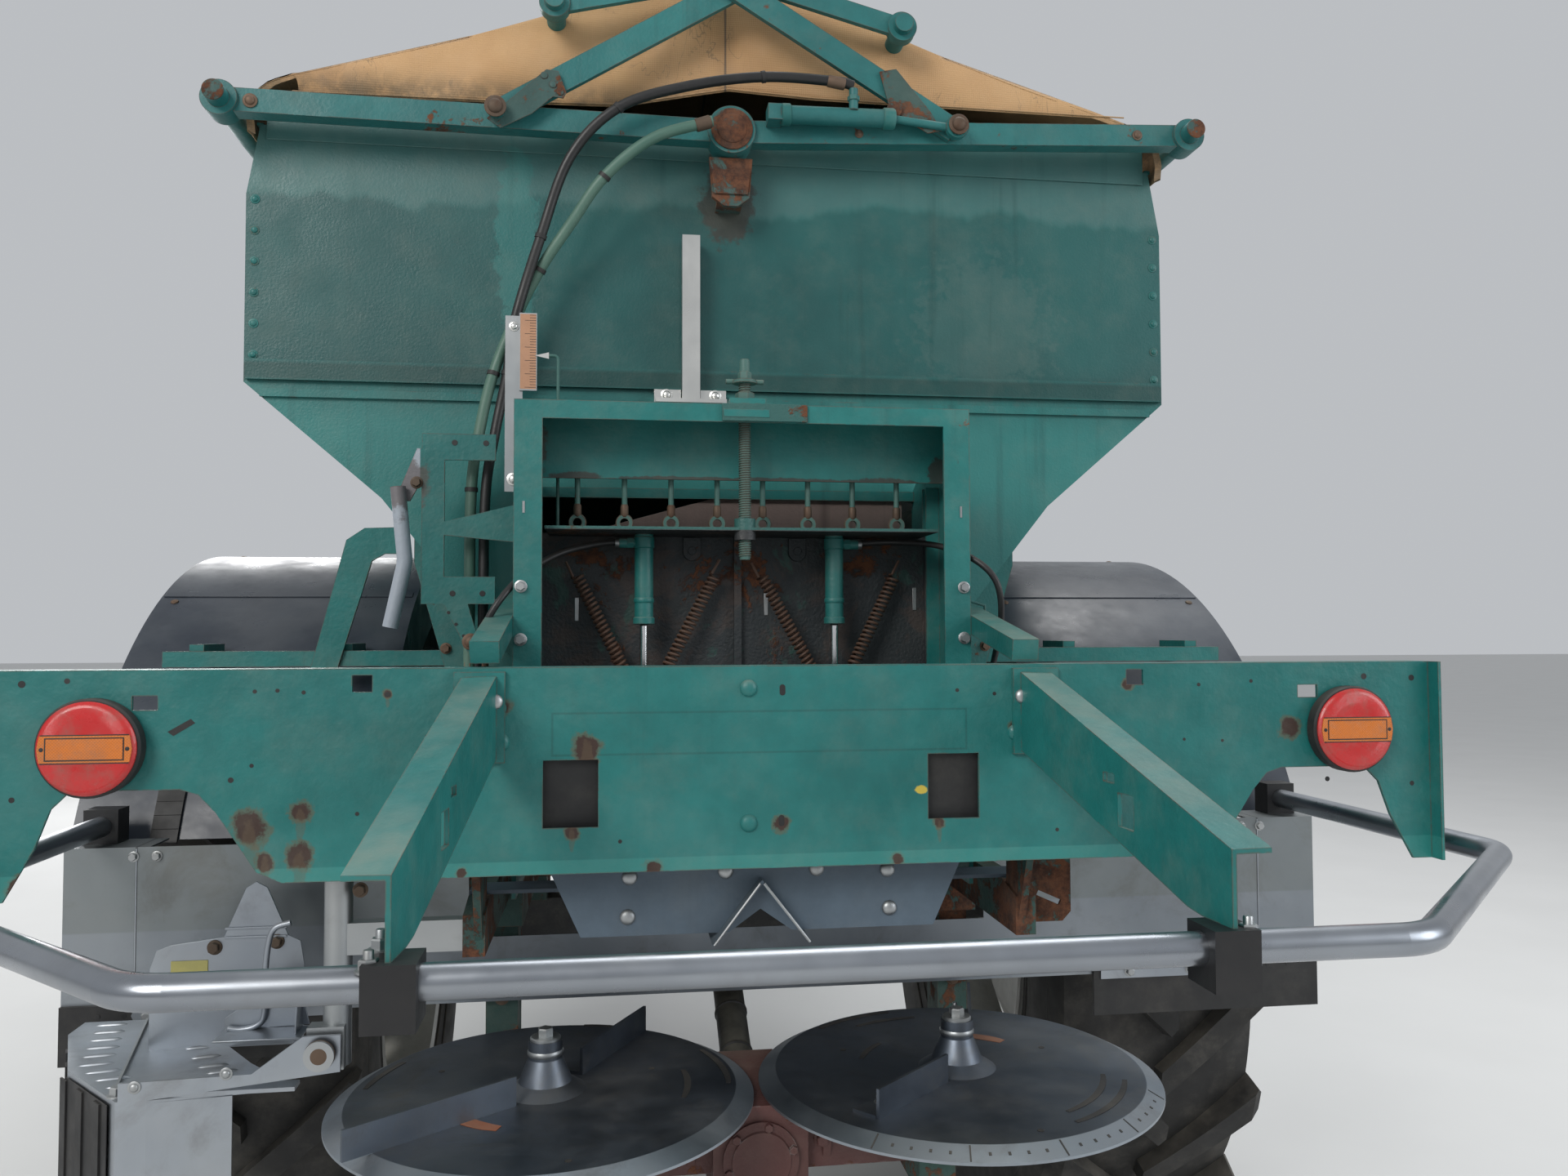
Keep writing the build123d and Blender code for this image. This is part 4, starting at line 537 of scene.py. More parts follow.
# Which CAD nodes wear which finish
for material, nodes in {
        "bar_paint": "rear_crossbar",
        "green": "guard_arm_left guard_arm_right mudguard_stays shutter_cylinders",
        "gate_frame": "gate_frame",
        "bracket": "hose_bracket",
        "frame_green": "hopper_saddles belt_frame drawbar",
        "rail": "chassis spreader_carrier",
        "hood_green": "hood_frame_rear hood_frame_front hood_tubes hood_cylinder",
        "old_hood": "hub_brackets",
        "wall": "hopper_rear_wall",
        "hopper": "hopper_side_left hopper_side_right hopper_front_wall",
        "gate_rust": "gate_plate shutter_left shutter_right",
        "dark_paint": "axle belt_rollers driveline",
        "drive": "disc_gearbox",
        "rim": "rim_left rim_right hub_left hub_right",
        "funnel": "funnel",
        "disc": "disc_left disc_right",
        "stainless": "guard_tube",
        "shield": "shield",
        "limiter": "limiter",
        "dusty_green": "gate_eyebolts",
        "zinc": "gate_screw limiter_carrier level_scale hitch_eye jack jack_leg",
        "old_steel": "springs_left springs_right",
        "aluminium": "setting_tube",
        "tyre": "tyre_left tyre_right",
        "clamp": "tube_clamps",
        "rubber": "shield_strips",
        "mudguard": "mudguard_left mudguard_right",
        "belt": "belt"}.items():
    for node in nodes.split():
        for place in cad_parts[node].material_slots:
            place.material = MAT[material]


def set_out_tree():
    """Geometry tree that puts a form at every point, along the point's axis and at the point's size."""
    tree = bpy.data.node_groups.new("set_out", "GeometryNodeTree")
    for label, kind in (("Geometry", "Geometry"), ("Form", "Object"), ("Scale", "Float"), ("Seed", "Int"),
                        ("Material", "Material")):
        tree.interface.new_socket(label, in_out="INPUT", socket_type="NodeSocket" + kind)
    tree.interface.new_socket("Geometry", in_out="OUTPUT", socket_type="NodeSocketGeometry")
    net = Net(tree)
    given = tree.nodes.new("NodeGroupInput").outputs
    axis = net.add("GeometryNodeInputNamedAttribute", {"Name": "axis"}, data_type="FLOAT_VECTOR")
    size = net.add("GeometryNodeInputNamedAttribute", {"Name": "size"}, data_type="FLOAT")
    angle = net.add("FunctionNodeRandomValue", {"Seed": given["Seed"]}, data_type="FLOAT")
    turn = net.add("FunctionNodeAxisAngleToRotation", {"Angle": angle.outputs[1]})
    aligned = net.add("FunctionNodeAlignRotationToVector",
                      {"Rotation": turn.outputs[0], "Vector": axis.outputs["Attribute"]}, axis="Z")
    form = net.add("GeometryNodeObjectInfo", {"Object": given["Form"]}, transform_space="ORIGINAL")
    copies = net.add("GeometryNodeInstanceOnPoints",
                     {"Points": given["Geometry"], "Instance": form.outputs["Geometry"],
                      "Rotation": aligned.outputs[0], "Scale": net.times(size.outputs["Attribute"], given["Scale"])})
    real = net.add("GeometryNodeRealizeInstances", {0: copies.outputs[0]})
    dressed = net.add("GeometryNodeSetMaterial", {"Geometry": real.outputs[0], "Material": given["Material"]})
    net.put(tree.nodes.new("NodeGroupOutput").inputs[0], dressed.outputs[0])
    return tree


SET_OUT = set_out_tree()
SET_OUT_SEED = 3
FASTENERS = {}


def smooth_parts(mesh, smooth):
    """Marks each face as smooth or flat."""
    for polygon, soft in zip(mesh.polygons, smooth):
        polygon.use_smooth = soft


class Build:
    """Gathers simple closed forms into one mesh."""

    def __init__(self):
        self.points = []
        self.faces = []
        self.smooth = []
        self.slots = []
        self.slot = 0
        self.fasteners = {}

    def add(self, points, faces, smooth=False):
        base = len(self.points)
        self.points += [Vector(p) for p in points]
        self.faces += [[base + i for i in face] for face in faces]
        self.smooth += smooth if isinstance(smooth, list) else [smooth] * len(faces)
        self.slots += [self.slot] * len(faces)

    def skin(self, rows, count, smooth, closed=False):
        """Skin over rows of count points each: ends capped, or joined into a ring when closed."""
        faces = []
        for k in range(len(rows) if closed else len(rows) - 1):
            j = (k + 1) % len(rows)
            for n in range(count):
                m = (n + 1) % count
                faces.append([k * count + n, k * count + m, j * count + m, j * count + n])
        if not closed:
            faces.append(list(range(count))[::-1])
            faces.append([(len(rows) - 1) * count + n for n in range(count)])
        self.add([p for row in rows for p in row], faces, smooth)

    def lathe(self, origin, axis, profile, count=24, smooth=True):
        """Turned form: profile is (radius, height along axis) from one end to the other."""
        w = Vector(axis).normalized()
        u = w.orthogonal().normalized() if abs(w.z) >= 0.9 else Vector(UP).cross(w).normalized()
        v = w.cross(u)
        self.skin([[Vector(origin) + w * height + (u * cos(a) + v * sin(a)) * radius for a in circle(count)]
                   for radius, height in profile], count, smooth)

    def dot(self, place, axis, radius, thick, count=14):
        """Thin round plate."""
        self.lathe(place, axis, [(radius, 0), (radius, thick)], count)

    def slab(self, outline, thick):
        """Closed outline of points, thickened by the vector thick."""
        n = len(outline)
        points = [Vector(p) for p in outline] + [Vector(p) + Vector(thick) for p in outline]
        faces = [list(range(n))[::-1], [n + i for i in range(n)]]
        faces += [[i, (i + 1) % n, n + (i + 1) % n, n + i] for i in range(n)]
        self.add(points, faces)

    def plate(self, outline, back, thick):
        """Plate across the machine: outline is (x, z), thick its thickness forwards."""
        self.slab([at(x, back, z) for x, z in outline], (0, thick, 0))

    def strip(self, a, b, height, thick):
        """Strip that stands upright from a to b."""
        rise = Vector((0, 0, height))
        self.slab([a, b, b + rise, a + rise], thick)

    def block(self, low, high):
        x0, y0, z0 = low
        x1, y1, z1 = high
        self.slab([(x0, y0, z0), (x1, y0, z0), (x1, y0, z1), (x0, y0, z1)], (0, y1 - y0, 0))

    def tube(self, line, radius, count=12, closed=False):
        """Round bar along a line of points. radius is a number or one per point."""
        line = [Vector(p) for p in line]
        radii = radius if isinstance(radius, list) else [radius] * len(line)
        last = len(line) - 1
        side = None
        rows = []
        for i, p in enumerate(line):
            if closed:
                way = (line[(i + 1) % len(line)] - line[i - 1]).normalized()
            else:
                way = (line[min(i + 1, last)] - line[max(i - 1, 0)]).normalized()
            side = way.orthogonal().normalized() if side is None else (side - way * side.dot(way)).normalized()
            other = way.cross(side)
            rows.append([p + (side * cos(a) + other * sin(a)) * radii[i] for a in circle(count)])
        self.skin(rows, count, True, closed)

    def bolt(self, place, axis, size, kind="hex", washer=True):
        """Bolt head, nut or rivet on a face, set out when the piece is finished. size is half its width."""
        self.fasteners.setdefault((kind, washer, self.slot), []).append((place, axis, size))

    def set_out(self, form, places):
        """Copies a finished form to every (place, axis, size) with the geometry tree."""
        points = bpy.data.meshes.new("places")
        points.from_pydata([Vector(place) for place, axis, size in places], [], [])
        points.attributes.new("axis", "FLOAT_VECTOR", "POINT")
        points.attributes.new("size", "FLOAT", "POINT")
        for n, (place, axis, size) in enumerate(places):
            points.attributes["axis"].data[n].vector = Vector(axis).normalized()
            points.attributes["size"].data[n].value = size
        holder = bpy.data.objects.new("places", points)
        bpy.context.collection.objects.link(holder)
        layout = holder.modifiers.new("set_out", "NODES")
        layout.node_group = SET_OUT
        values = {"Form": form, "Scale": 1.0, "Seed": SET_OUT_SEED, "Material": MAT["zinc"]}
        for socket in SET_OUT.interface.items_tree:
            if socket.in_out == "INPUT" and socket.name in values:
                layout[socket.identifier] = values[socket.name]
        settle(holder)
        made = holder.data
        self.add([v.co.copy() for v in made.vertices], [list(p.vertices) for p in made.polygons],
                 [p.use_smooth for p in made.polygons])
        bpy.data.objects.remove(holder)
        bpy.data.meshes.remove(made)

    def finish(self, name, materials, body, bevel=0.0):
        """Makes the piece. materials are names with spaces between, one per slot."""
        for (kind, washer, self.slot), places in self.fasteners.items():
            self.set_out(fastener(kind, washer), places)
        mesh = bpy.data.meshes.new(name)
        mesh.from_pydata(self.points, [], self.faces)
        smooth_parts(mesh, self.smooth)
        for polygon, place in zip(mesh.polygons, self.slots):
            polygon.material_index = place
        mesh.update()
        form = bmesh.new()
        form.from_mesh(mesh)
        bmesh.ops.recalc_face_normals(form, faces=form.faces)
        form.to_mesh(mesh)
        form.free()
        mesh.set_sharp_from_angle(angle=radians(38))
        piece = bpy.data.objects.new(name, mesh)
        bpy.context.collection.objects.link(piece)
        for material in materials.split():
            mesh.materials.append(MAT[material])
        if bevel:
            rounded = piece.modifiers.new("edges", "BEVEL")
            rounded.width = bevel
            rounded.segments = 2
            rounded.limit_method = "ANGLE"
            rounded.angle_limit = radians(40)
            rounded.harden_normals = False
            settle(piece)
        if body:
            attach(piece, body)
        return piece


def fastener(kind, washer):
    """Head of unit half width, standing on the XY plane: hex, dome, or stud with its nut."""
    if (kind, washer) in FASTENERS:
        return FASTENERS[(kind, washer)]
    form = Build()
    if washer:
        form.lathe((0, 0, 0), UP, [(1.45, -0.05), (1.45, 0.16), (1.35, 0.22)], 20)
    base = 0.2 if washer else -0.05
    if kind == "dome":
        curve = [(cos(radians(t)), base + 0.62 * sin(radians(t))) for t in range(0, 86, 14)]
        form.lathe((0, 0, 0), UP, [(1, base - 0.04)] + curve + [(0.02, base + 0.62)], 20)
    else:
        form.lathe((0, 0, 0), UP, [(1.1, base), (1.1, base + 0.99), (0.95, base + 1.15)], 6, False)
    if kind == "stud":
        form.lathe((0, 0, 0), UP, [(0.58, base), (0.58, base + 1.95), (0.5, base + 2.07)], 12)
    mesh = bpy.data.meshes.new("fastener")
    mesh.from_pydata(form.points, [], form.faces)
    smooth_parts(mesh, form.smooth)
    made = bpy.data.objects.new("fastener", mesh)
    bpy.context.collection.objects.link(made)
    FASTENERS[(kind, washer)] = made
    return made


def settle(piece):
    """Turns a piece's modifiers into plain mesh."""
    graph = bpy.context.evaluated_depsgraph_get()
    made = bpy.data.meshes.new_from_object(piece.evaluated_get(graph))
    piece.modifiers.clear()
    old = piece.data
    piece.data = made
    made.name = piece.name
    bpy.data.meshes.remove(old)


def spline(points, steps):
    """Smooth line through the points (Catmull-Rom)."""
    points = [Vector(p) for p in points]
    ends = [points[0] * 2 - points[1]] + points + [points[-1] * 2 - points[-2]]
    line = []
    for a, b, c, d in zip(ends, ends[1:], ends[2:], ends[3:]):
        for n in range(steps):
            t = n / steps
            line.append(0.5 * ((2 * b) + (c - a) * t + (2 * a - 5 * b + 4 * c - d) * t * t
                               + (3 * b - a - 3 * c + d) * t ** 3))
    return line + [points[-1]]


def between(a, b, share):
    return [p + (q - p) * share for p, q in zip(a, b)]


def walk(line, far):
    """Place at the distance far along a line of points, the number of its leg and its share of that leg."""
    for leg, (a, b) in enumerate(zip(line, line[1:])):
        length = dist(a, b)
        if far <= length + 1e-9:
            return between(a, b, far / length), leg, far / length
        far -= length


def line_length(line):
    return sum(dist(a, b) for a, b in zip(line, line[1:]))


# Lamps: a black body, a ribbed red lens and an amber window
for side, name in SIDES:
    x, z = side * LAMP_X, LAMP_Z
    lamp = Build()
    lamp.lathe(at(x, 0, z), REAR, [(0.064, 0), (0.0695, 0.004), (0.0695, 0.022), (0.067, 0.025), (0.064, 0.0255)], 48)
    lamp.slot = 1
    lamp.lathe(at(x, -0.0245, z), REAR, [(0.0655, 0), (0.0655, 0.003), (0.0625, 0.0065), (0.056, 0.0085),
                                         (0.03, 0.0088), (0.001, 0.0088)], 48)
    lamp.slot = 2
    lamp.plate([(x + px, z + pz) for px, pz in ((-0.0585, -0.0185), (0.0585, -0.0185), (0.0615, 0.0),
                                                (0.0585, 0.0185), (-0.0585, 0.0185), (-0.0615, 0.0))], -0.0318, -0.0016)
    lamp.plate([(x + px * 0.0495, z + pz * 0.0140) for px, pz in ((-1, -1), (1, -1), (1, 1), (-1, 1))],
               -0.0334, -0.0006)
    lamp.slot = 0
    for (x0, z0), (x1, z1) in (((-0.0515, -0.0160), (0.0515, -0.0145)), ((-0.0515, 0.0145), (0.0515, 0.0160)),
                               ((-0.0515, -0.0145), (-0.0500, 0.0145)), ((0.0500, -0.0145), (0.0515, 0.0145))):
        lamp.block(at(x + x0, -0.0337, z + z0), at(x + x1, -0.0333, z + z1))
    for pz in (-0.0195, 0.0195):
        lamp.block(at(x - 0.0575, -0.0335, z + pz - 0.0007), at(x + 0.0575, -0.0326, z + pz + 0.0007))
    for px in (-0.0555, 0.0555):
        lamp.lathe(at(x + px, -0.0330, z), REAR, [(0.0030, 0), (0.0030, 0.0006), (0.002, 0.0009)], 10)
    piece = lamp.finish("lamp_body_" + name, "rubber lens_red lens_amber", "machine")
    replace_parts(piece, "lamp_" + name)

# Amber reflectors on the crossbar's ends
reflect = Build()
for side in (-1, 1):
    low, high = sorted((side * 1.108, side * 1.113))
    reflect.block(at(low, -0.018, -0.245), at(high, 0.022, -0.18))
reflect.finish("side_reflectors", "lens_amber", "machine", 0.0012)

# Small holes, slots and bolts of the crossbar; the holes' radii in mm
holes = Build()
for px, pz, r in [(-0.991, -0.015, 4), (-1.05, -0.019, 5), (-0.74, -0.032, 3), (-0.709, -0.031, 3),
                  (-0.673, -0.034, 3), (-0.597, -0.21, 3), (-0.771, -0.158, 4), (-0.743, -0.138, 3),
                  (-0.556, -0.038, 4), (0.988, -0.024, 5), (1.073, -0.027, 5), (0.739, -0.125, 2.5),
                  (0.674, -0.122, 2.5), (0.30, -0.04, 3), (0.36, -0.046, 3), (0.79, -0.03, 3), (0.70, -0.035, 3),
                  (-0.50, -0.10, 3), (0.46, -0.26, 3), (-0.46, -0.25, 3), (0.92, -0.19, 4), (-1.06, -0.18, 4),
                  (1.07, -0.2, 4), (-0.22, -0.26, 3), (0.55, -0.19, 2.5)]:
    holes.dot(at(px, 0.0004, pz), REAR, r / 1000, 0.0006)
for px, pz in ((0.025, -0.037), (0.023, -0.235)):
    holes.plate([(px + 0.0045 * cos(a), pz + 0.0045 * sin(a) + (0.004 if sin(a) > 0 else -0.004))
                 for a in circle(16)], 0.0002, -0.0006)
holes.plate([(-0.849, -0.094), (-0.820, -0.076), (-0.826, -0.070), (-0.857, -0.088)], 0.0002, -0.0006)
holes.finish("crossbar_holes", "rubber", "machine")
bolts = Build()
for px, pz in ((-0.027, -0.034), (-0.027, -0.238), (-0.395, -0.110), (0.394, -0.107), (-0.400, -0.06),
               (0.40, -0.052)):
    bolts.bolt(at(px, 0, pz), REAR, 0.0135, "dome", False)
bolts.finish("crossbar_bolts", "green", "machine")
flaps = Build()
for side in (-1, 1):
    x = side * 0.293
    flaps.slab([at(x - 0.055, 0.012, -0.125), at(x + 0.055, 0.012, -0.125), at(x + 0.052, 0.014, -0.25),
                at(x + 0.01 * side, 0.020, -0.262), at(x - 0.05, 0.013, -0.248)], (0, 0.004, 0))
flaps.finish("crossbar_flaps", "rubber", "machine", 0.001)

# Bolts of the guard arms and their clamps
arm_bolts = Build()
for side in (-1, 1):
    for back, z in ((-0.505, -0.277), (-0.548, -0.287)):
        arm_bolts.bolt(at(side * (0.424 - 0.045 * back / 0.535), back, z), UP, 0.0095, "stud")
    arm_bolts.bolt(at(side * 0.402, -0.0085, -0.05), REAR, 0.0115, "dome", False)
arm_bolts.finish("guard_bolts", "zinc", "machine")

# Funnel: bolts and the divider's worn edges
funnel_bolts = Build()
for px, pz in ((-0.205, -0.33), (0.205, -0.33), (-0.208, -0.391), (0.208, -0.391), (-0.055, -0.325), (0.09, -0.325),
               (-0.3, -0.25), (0.3, -0.25)):
    funnel_bolts.bolt(at(px, 0.08, pz), REAR, 0.0125, "dome", False)
funnel_bolts.finish("funnel_bolts", "zinc", "machine")
edges = Build()
for side in (-1, 1):
    edges.tube([at(side * 0.003, 0.0545, -0.3405), at(side * 0.075, 0.0545, -0.4335)], 0.0022, 6)
edges.finish("divider_edge", "zinc", "machine")


def disc_point(side, radius, a, lift=0.0001, aside=0.0):
    """Place over a disc's face, at angle a round its shaft and set aside across that direction."""
    return at(side * DISC_X + radius * cos(a) - aside * sin(a), DISC_BACK + radius * sin(a) + aside * cos(a),
              DISC_TOP + lift)


def arc_strip(build, side, radius, start, end, width, thick=0.0007, steps=14):
    """Thin strip on a disc's face along an arc from start to end in degrees, narrower at its ends."""
    inner, outer = [], []
    for n in range(steps + 1):
        a = radians(start + (end - start) * n / steps)
        half = width * (0.35 + 0.65 * sin(pi * min(max(n / steps, 0.04), 0.96)) ** 0.3) / 2
        inner.append(disc_point(side, radius - half, a))
        outer.append(disc_point(side, radius + half, a))
    build.slab(inner + outer[::-1], (0, 0, thick))


# Discs: slots, blank label, bolts and rim scale, all in the rest position
for side, name, slots, label_arc, vanes in (
        (-1, "left", ((0.285, 148, 172), (0.225, -18, 12), (0.29, -4, 28), (0.30, 60, 80)), (0.155, 205, 248),
         ((217, 0.345, -0.002), (62, 0.30, 0.002))),
        (1, "right", ((0.235, -62, -18), (0.268, -66, -22), (0.25, 92, 120), (0.29, 100, 132), (0.16, 130, 160)),
         (0.15, 42, 72), ((222, 0.262, -0.002), (74, 0.325, 0.002)))):
    body = "spinner_" + name
    shaft = (side * DISC_X, DISC_BACK)
    cuts = Build()
    for slot in slots:
        arc_strip(cuts, side, *slot, 0.011)
    for angle, radius in ((150, 0.20), (205, 0.12), (-80, 0.27), (20, 0.18)):
        cuts.dot(disc_point(side, radius, radians(angle), 0.0), UP, 0.005, 0.0007, 12)
    # The right disc's scale: 21 marks on the turned-down rim, every fifth one long
    for n in range(21 if side > 0 else 0):
        near, far, half = (0.314, 0.3185, 0.0020) if n % 5 else (0.304, 0.328, 0.0012)
        cuts.slab([disc_point(side, r, radians(5.0 * n - 128), 0.0006 - (r - 0.302) * 0.5, aside)
                   for r, aside in ((near, -half), (far, -half), (far, half), (near, half))], (0, 0, -0.0009))
    cuts.finish("disc_marks_" + name, "rubber", body)
    label = Build()
    arc_strip(label, side, *label_arc, 0.024, 0.0006, 10)
    label.finish("disc_label_" + name, "sticker", body)
    fixings = Build()
    fixings.lathe(at(*shaft, DISC_TOP + 0.077), UP, [(0.024, 0), (0.024, 0.004), (0.022, 0.006), (0.001, 0.006)], 28)
    fixings.bolt(at(*shaft, DISC_TOP + 0.083), UP, 0.0115, "hex", False)
    fixings.lathe(at(*shaft, DISC_TOP + 0.0535), UP,
                  [(0.0268, 0), (0.0285, 0.003), (0.0285, 0.007), (0.0268, 0.010)], 32)
    for angle, tip, aside in vanes:
        for share, kind in ((0.42, "dome"), (0.62, "dome"), (0.82, "stud")):
            fixings.bolt(disc_point(side, tip * share, radians(angle), 0.005, aside), UP, 0.0075, kind,
                         kind == "stud")
    fixings.finish("disc_fixings_" + name, "zinc", body)

# Gate: lugs, side strips, the eyebolts' rings and small pointers
gate = Build()
for px in (-0.086, 0.115):
    gate.lathe(at(px, 0.440, 0.205), REAR, [(0.0001, 0.010), (0.008, 0.010), (0.008, 0.0001)], 12)
    gate.plate([(px + 0.017 * cos(radians(t)), 0.203 + 0.017 * sin(radians(t))) for t in range(180, 361, 20)]
               + [(px + 0.017, 0.230), (px - 0.017, 0.230)], 0.4395, -0.007)
for px in (-0.372, 0.372):
    gate.block(at(px - 0.008, 0.432, -0.03), at(px + 0.008, 0.4405, 0.228))
gate.slot = 1
for n in range(8):
    px = (n - 3.5) * 0.085
    gate.tube([at(px + 0.0125 * cos(a), 0.386, 0.2515 + 0.0135 * sin(a)) for a in circle(20)], 0.0042, 8, True)
    gate.lathe(at(px, 0.386, 0.262), UP, [(0.0055, 0), (0.0075, 0.004), (0.0075, 0.02), (0.0058, 0.024)], 12)
gate.slot = 2
for px, pz in ((-0.30, 0.095), (0.345, 0.115), (0.055, 0.105)):
    gate.block(at(px - 0.004, 0.4385, pz - 0.022), at(px + 0.004, 0.4405, pz + 0.022))
gate.finish("gate_fittings", "gate_rust old_steel zinc", "gate", 0.001)

# Shutters: the cylinders' collars and ports, chromed rods, and coil springs
COIL_TURNS, COIL_STEPS = 24, 13
for side, name in SIDES:
    x = side * CYLINDER_X
    cylinder = Build()
    for z, profile in ((0.066, [(0.012, 0), (0.0195, 0.001), (0.0195, 0.012), (0.0172, 0.014)]),
                       (0.105, [(0.0172, 0), (0.0185, 0.002), (0.0185, 0.008), (0.0172, 0.010)]),
                       (0.205, [(0.0172, 0), (0.019, 0.002), (0.019, 0.02), (0.0172, 0.022)])):
        cylinder.lathe(at(x, CYLINDER_BACK, z), UP, profile, 28)
    cylinder.lathe(at(x + side * 0.018, CYLINDER_BACK, 0.215), (side, 0, 0),
                   [(0.0095, 0), (0.0105, 0.002), (0.0105, 0.012), (0.008, 0.014), (0.008, 0.02)], 6, False)
    cylinder.finish("cylinder_trim_" + name, "green", "gate", 0.0006)
    rod = Build()
    rod.dot(at(x, CYLINDER_BACK, -0.0655), UP, 0.0073, 0.129, 24)
    rod.finish("cylinder_rod_" + name, "chrome", "shutter_" + name[0])
    coils = Build()
    for top_x, low_x in ((0.313, 0.190), (0.030, 0.160)):
        top, low = at(side * top_x, 0.416, 0.184), at(side * low_x, 0.398, -0.062)
        length = (low - top).length
        way = (low - top).normalized()
        u = way.orthogonal().normalized()
        v = way.cross(u)
        line = [top + u * 0.009]
        for n in range(COIL_TURNS * COIL_STEPS + 1):
            a = 2 * pi * n / COIL_STEPS
            share = n / (COIL_TURNS * COIL_STEPS)
            line.append(top + way * (0.03 + (length - 0.055) * share) + (u * cos(a) + v * sin(a)) * 0.0098)
        coils.tube(line + [low + u * 0.004 - way * 0.012, low], 0.0027, 7)
    spring = coils.finish("coil_springs_" + name, "spring", "gate")
    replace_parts(spring, "springs_" + name)
    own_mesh(spring)

# Gate screw: thread, core, hand nut, cross pin and lock nut; its plate; the frame's bolts
THREAD_TURNS = 73
screw = Build()
screw.tube([at(0.0098 * cos(pi * n / 6), SCREW_BACK + 0.0098 * sin(pi * n / 6), 0.185 + 0.31 * n / (THREAD_TURNS * 12))
            for n in range(THREAD_TURNS * 12 + 1)], 0.0017, 5)
for z, count, profile in (
        (0.18, 20, [(0.0088, 0), (0.0092, 0.002), (0.0092, 0.355), (0.0080, 0.360)]),
        (0.495, 28, [(0.010, 0), (0.0215, 0.001), (0.0215, 0.007), (0.010, 0.008)]),
        (0.503, 6, [(0.0125, 0), (0.0125, 0.012), (0.011, 0.014)]),
        (0.517, 16, [(0.0075, 0), (0.0085, 0.004), (0.0085, 0.016), (0.006, 0.022)]),
        (0.4605, 6, [(0.0175, 0), (0.0175, 0.018), (0.015, 0.0195)])):
    screw.lathe(at(0, SCREW_BACK, z), UP, profile, count, count > 6)
screw.lathe(at(-0.034, SCREW_BACK, 0.4995), (1, 0, 0), [(0.004, 0), (0.0045, 0.002), (0.0045, 0.066), (0.004, 0.068)],
            14)
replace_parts(screw.finish("gate_thread", "dusty_green", "machine"), "gate_screw")
nut = Build()
nut.block(at(-0.045, 0.2445, 0.4195), at(0.105, 0.2495, 0.4500))
nut.slot = 1
nut.block(at(-0.043, 0.2435, 0.4260), at(0.038, 0.2447, 0.4400))
nut.finish("screw_plate", "gate_rust green", "machine", 0.0015)
guides = Build()
for side in (-1, 1):
    for z in (0.13, 0.04):
        guides.bolt(at(side * 0.387, 0.2495, z), REAR, 0.0075)
    guides.block(at(side * 0.383 - 0.002, 0.2488, 0.255), at(side * 0.383 + 0.002, 0.2502, 0.275))
guides.finish("frame_bolts", "zinc", "machine")

# Hydraulic hoses of the shutter cylinders along the gate frame, with their fittings
CYLINDER_HOSES = {
    "left": [(-0.203, 0.385, 0.215), (-0.235, 0.384, 0.2155), (-0.275, 0.372, 0.209), (-0.330, 0.335, 0.190),
             (-0.385, 0.275, 0.150), (-0.425, 0.242, 0.100), (-0.450, 0.250, 0.050), (-0.462, 0.30, -0.01),
             (-0.466, 0.36, -0.06), (-0.440, 0.40, -0.085)],
    "right": [(0.203, 0.385, 0.215), (0.245, 0.384, 0.2185), (0.300, 0.370, 0.219), (0.362, 0.320, 0.209),
              (0.412, 0.262, 0.180), (0.446, 0.246, 0.140), (0.460, 0.262, 0.080), (0.464, 0.31, 0.01),
              (0.462, 0.37, -0.06), (0.440, 0.41, -0.085)]}
for side, name in SIDES:
    points = [at(*p) for p in CYLINDER_HOSES[name]]
    hose = Build()
    hose.tube(spline(points, 8), 0.0058)
    hose.slot = 1
    hose.tube([points[0], points[0] + Vector((side * 0.026, 0, 0))], 0.0085)
    piece = hose.finish("cylinder_hose_" + name, "hose zinc", None)
    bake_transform(piece)

# Hose to the hood's cylinder and pipe to its hub, down to the block beside the gate frame
HOSE_LINE = [(0.243, 0.503, 1.150), (0.205, 0.502, 1.156), (0.060, 0.500, 1.155), (-0.090, 0.500, 1.127),
             (-0.225, 0.500, 1.076), (-0.318, 0.516, 0.980), (-0.375, 0.532, 0.825), (-0.424, 0.540, 0.660),
             (-0.440, 0.560, 0.560), (-0.463, 0.560, 0.440), (-0.480, 0.560, 0.320), (-0.483, 0.560, 0.10),
             (-0.483, 0.560, -0.05)]
PIPE_LINE = [(-0.042, 0.500, 1.060), (-0.158, 0.500, 1.019), (-0.252, 0.515, 0.944), (-0.315, 0.535, 0.858),
             (-0.378, 0.552, 0.765), (-0.426, 0.566, 0.669), (-0.467, 0.566, 0.560), (-0.490, 0.562, 0.458),
             (-0.507, 0.560, 0.330), (-0.509, 0.560, 0.10), (-0.509, 0.560, -0.05)]
hoses = Build()
hoses.tube(spline([at(*p) for p in HOSE_LINE], 8), 0.0100, 14)
hoses.slot = 1
hoses.tube(spline([at(*p) for p in PIPE_LINE], 8), 0.0108, 14)
hoses.slot = 2
hoses.block(at(-0.530, 0.540, -0.110), at(-0.400, 0.590, -0.050))
for x, count in ((-0.483, 20), (-0.509, 6)):
    hoses.lathe(at(x, 0.560, -0.051), UP, [(0.0125, 0), (0.0125, 0.016), (0.0112, 0.018), (0.0112, 0.045),
                                           (0.0105, 0.047)], count, count > 6)
hoses.lathe(at(0.190, 0.502, 1.1565), (1, 0, -0.15),
            [(0.0103, 0), (0.0118, 0.002), (0.0118, 0.034), (0.0103, 0.036)], 20)
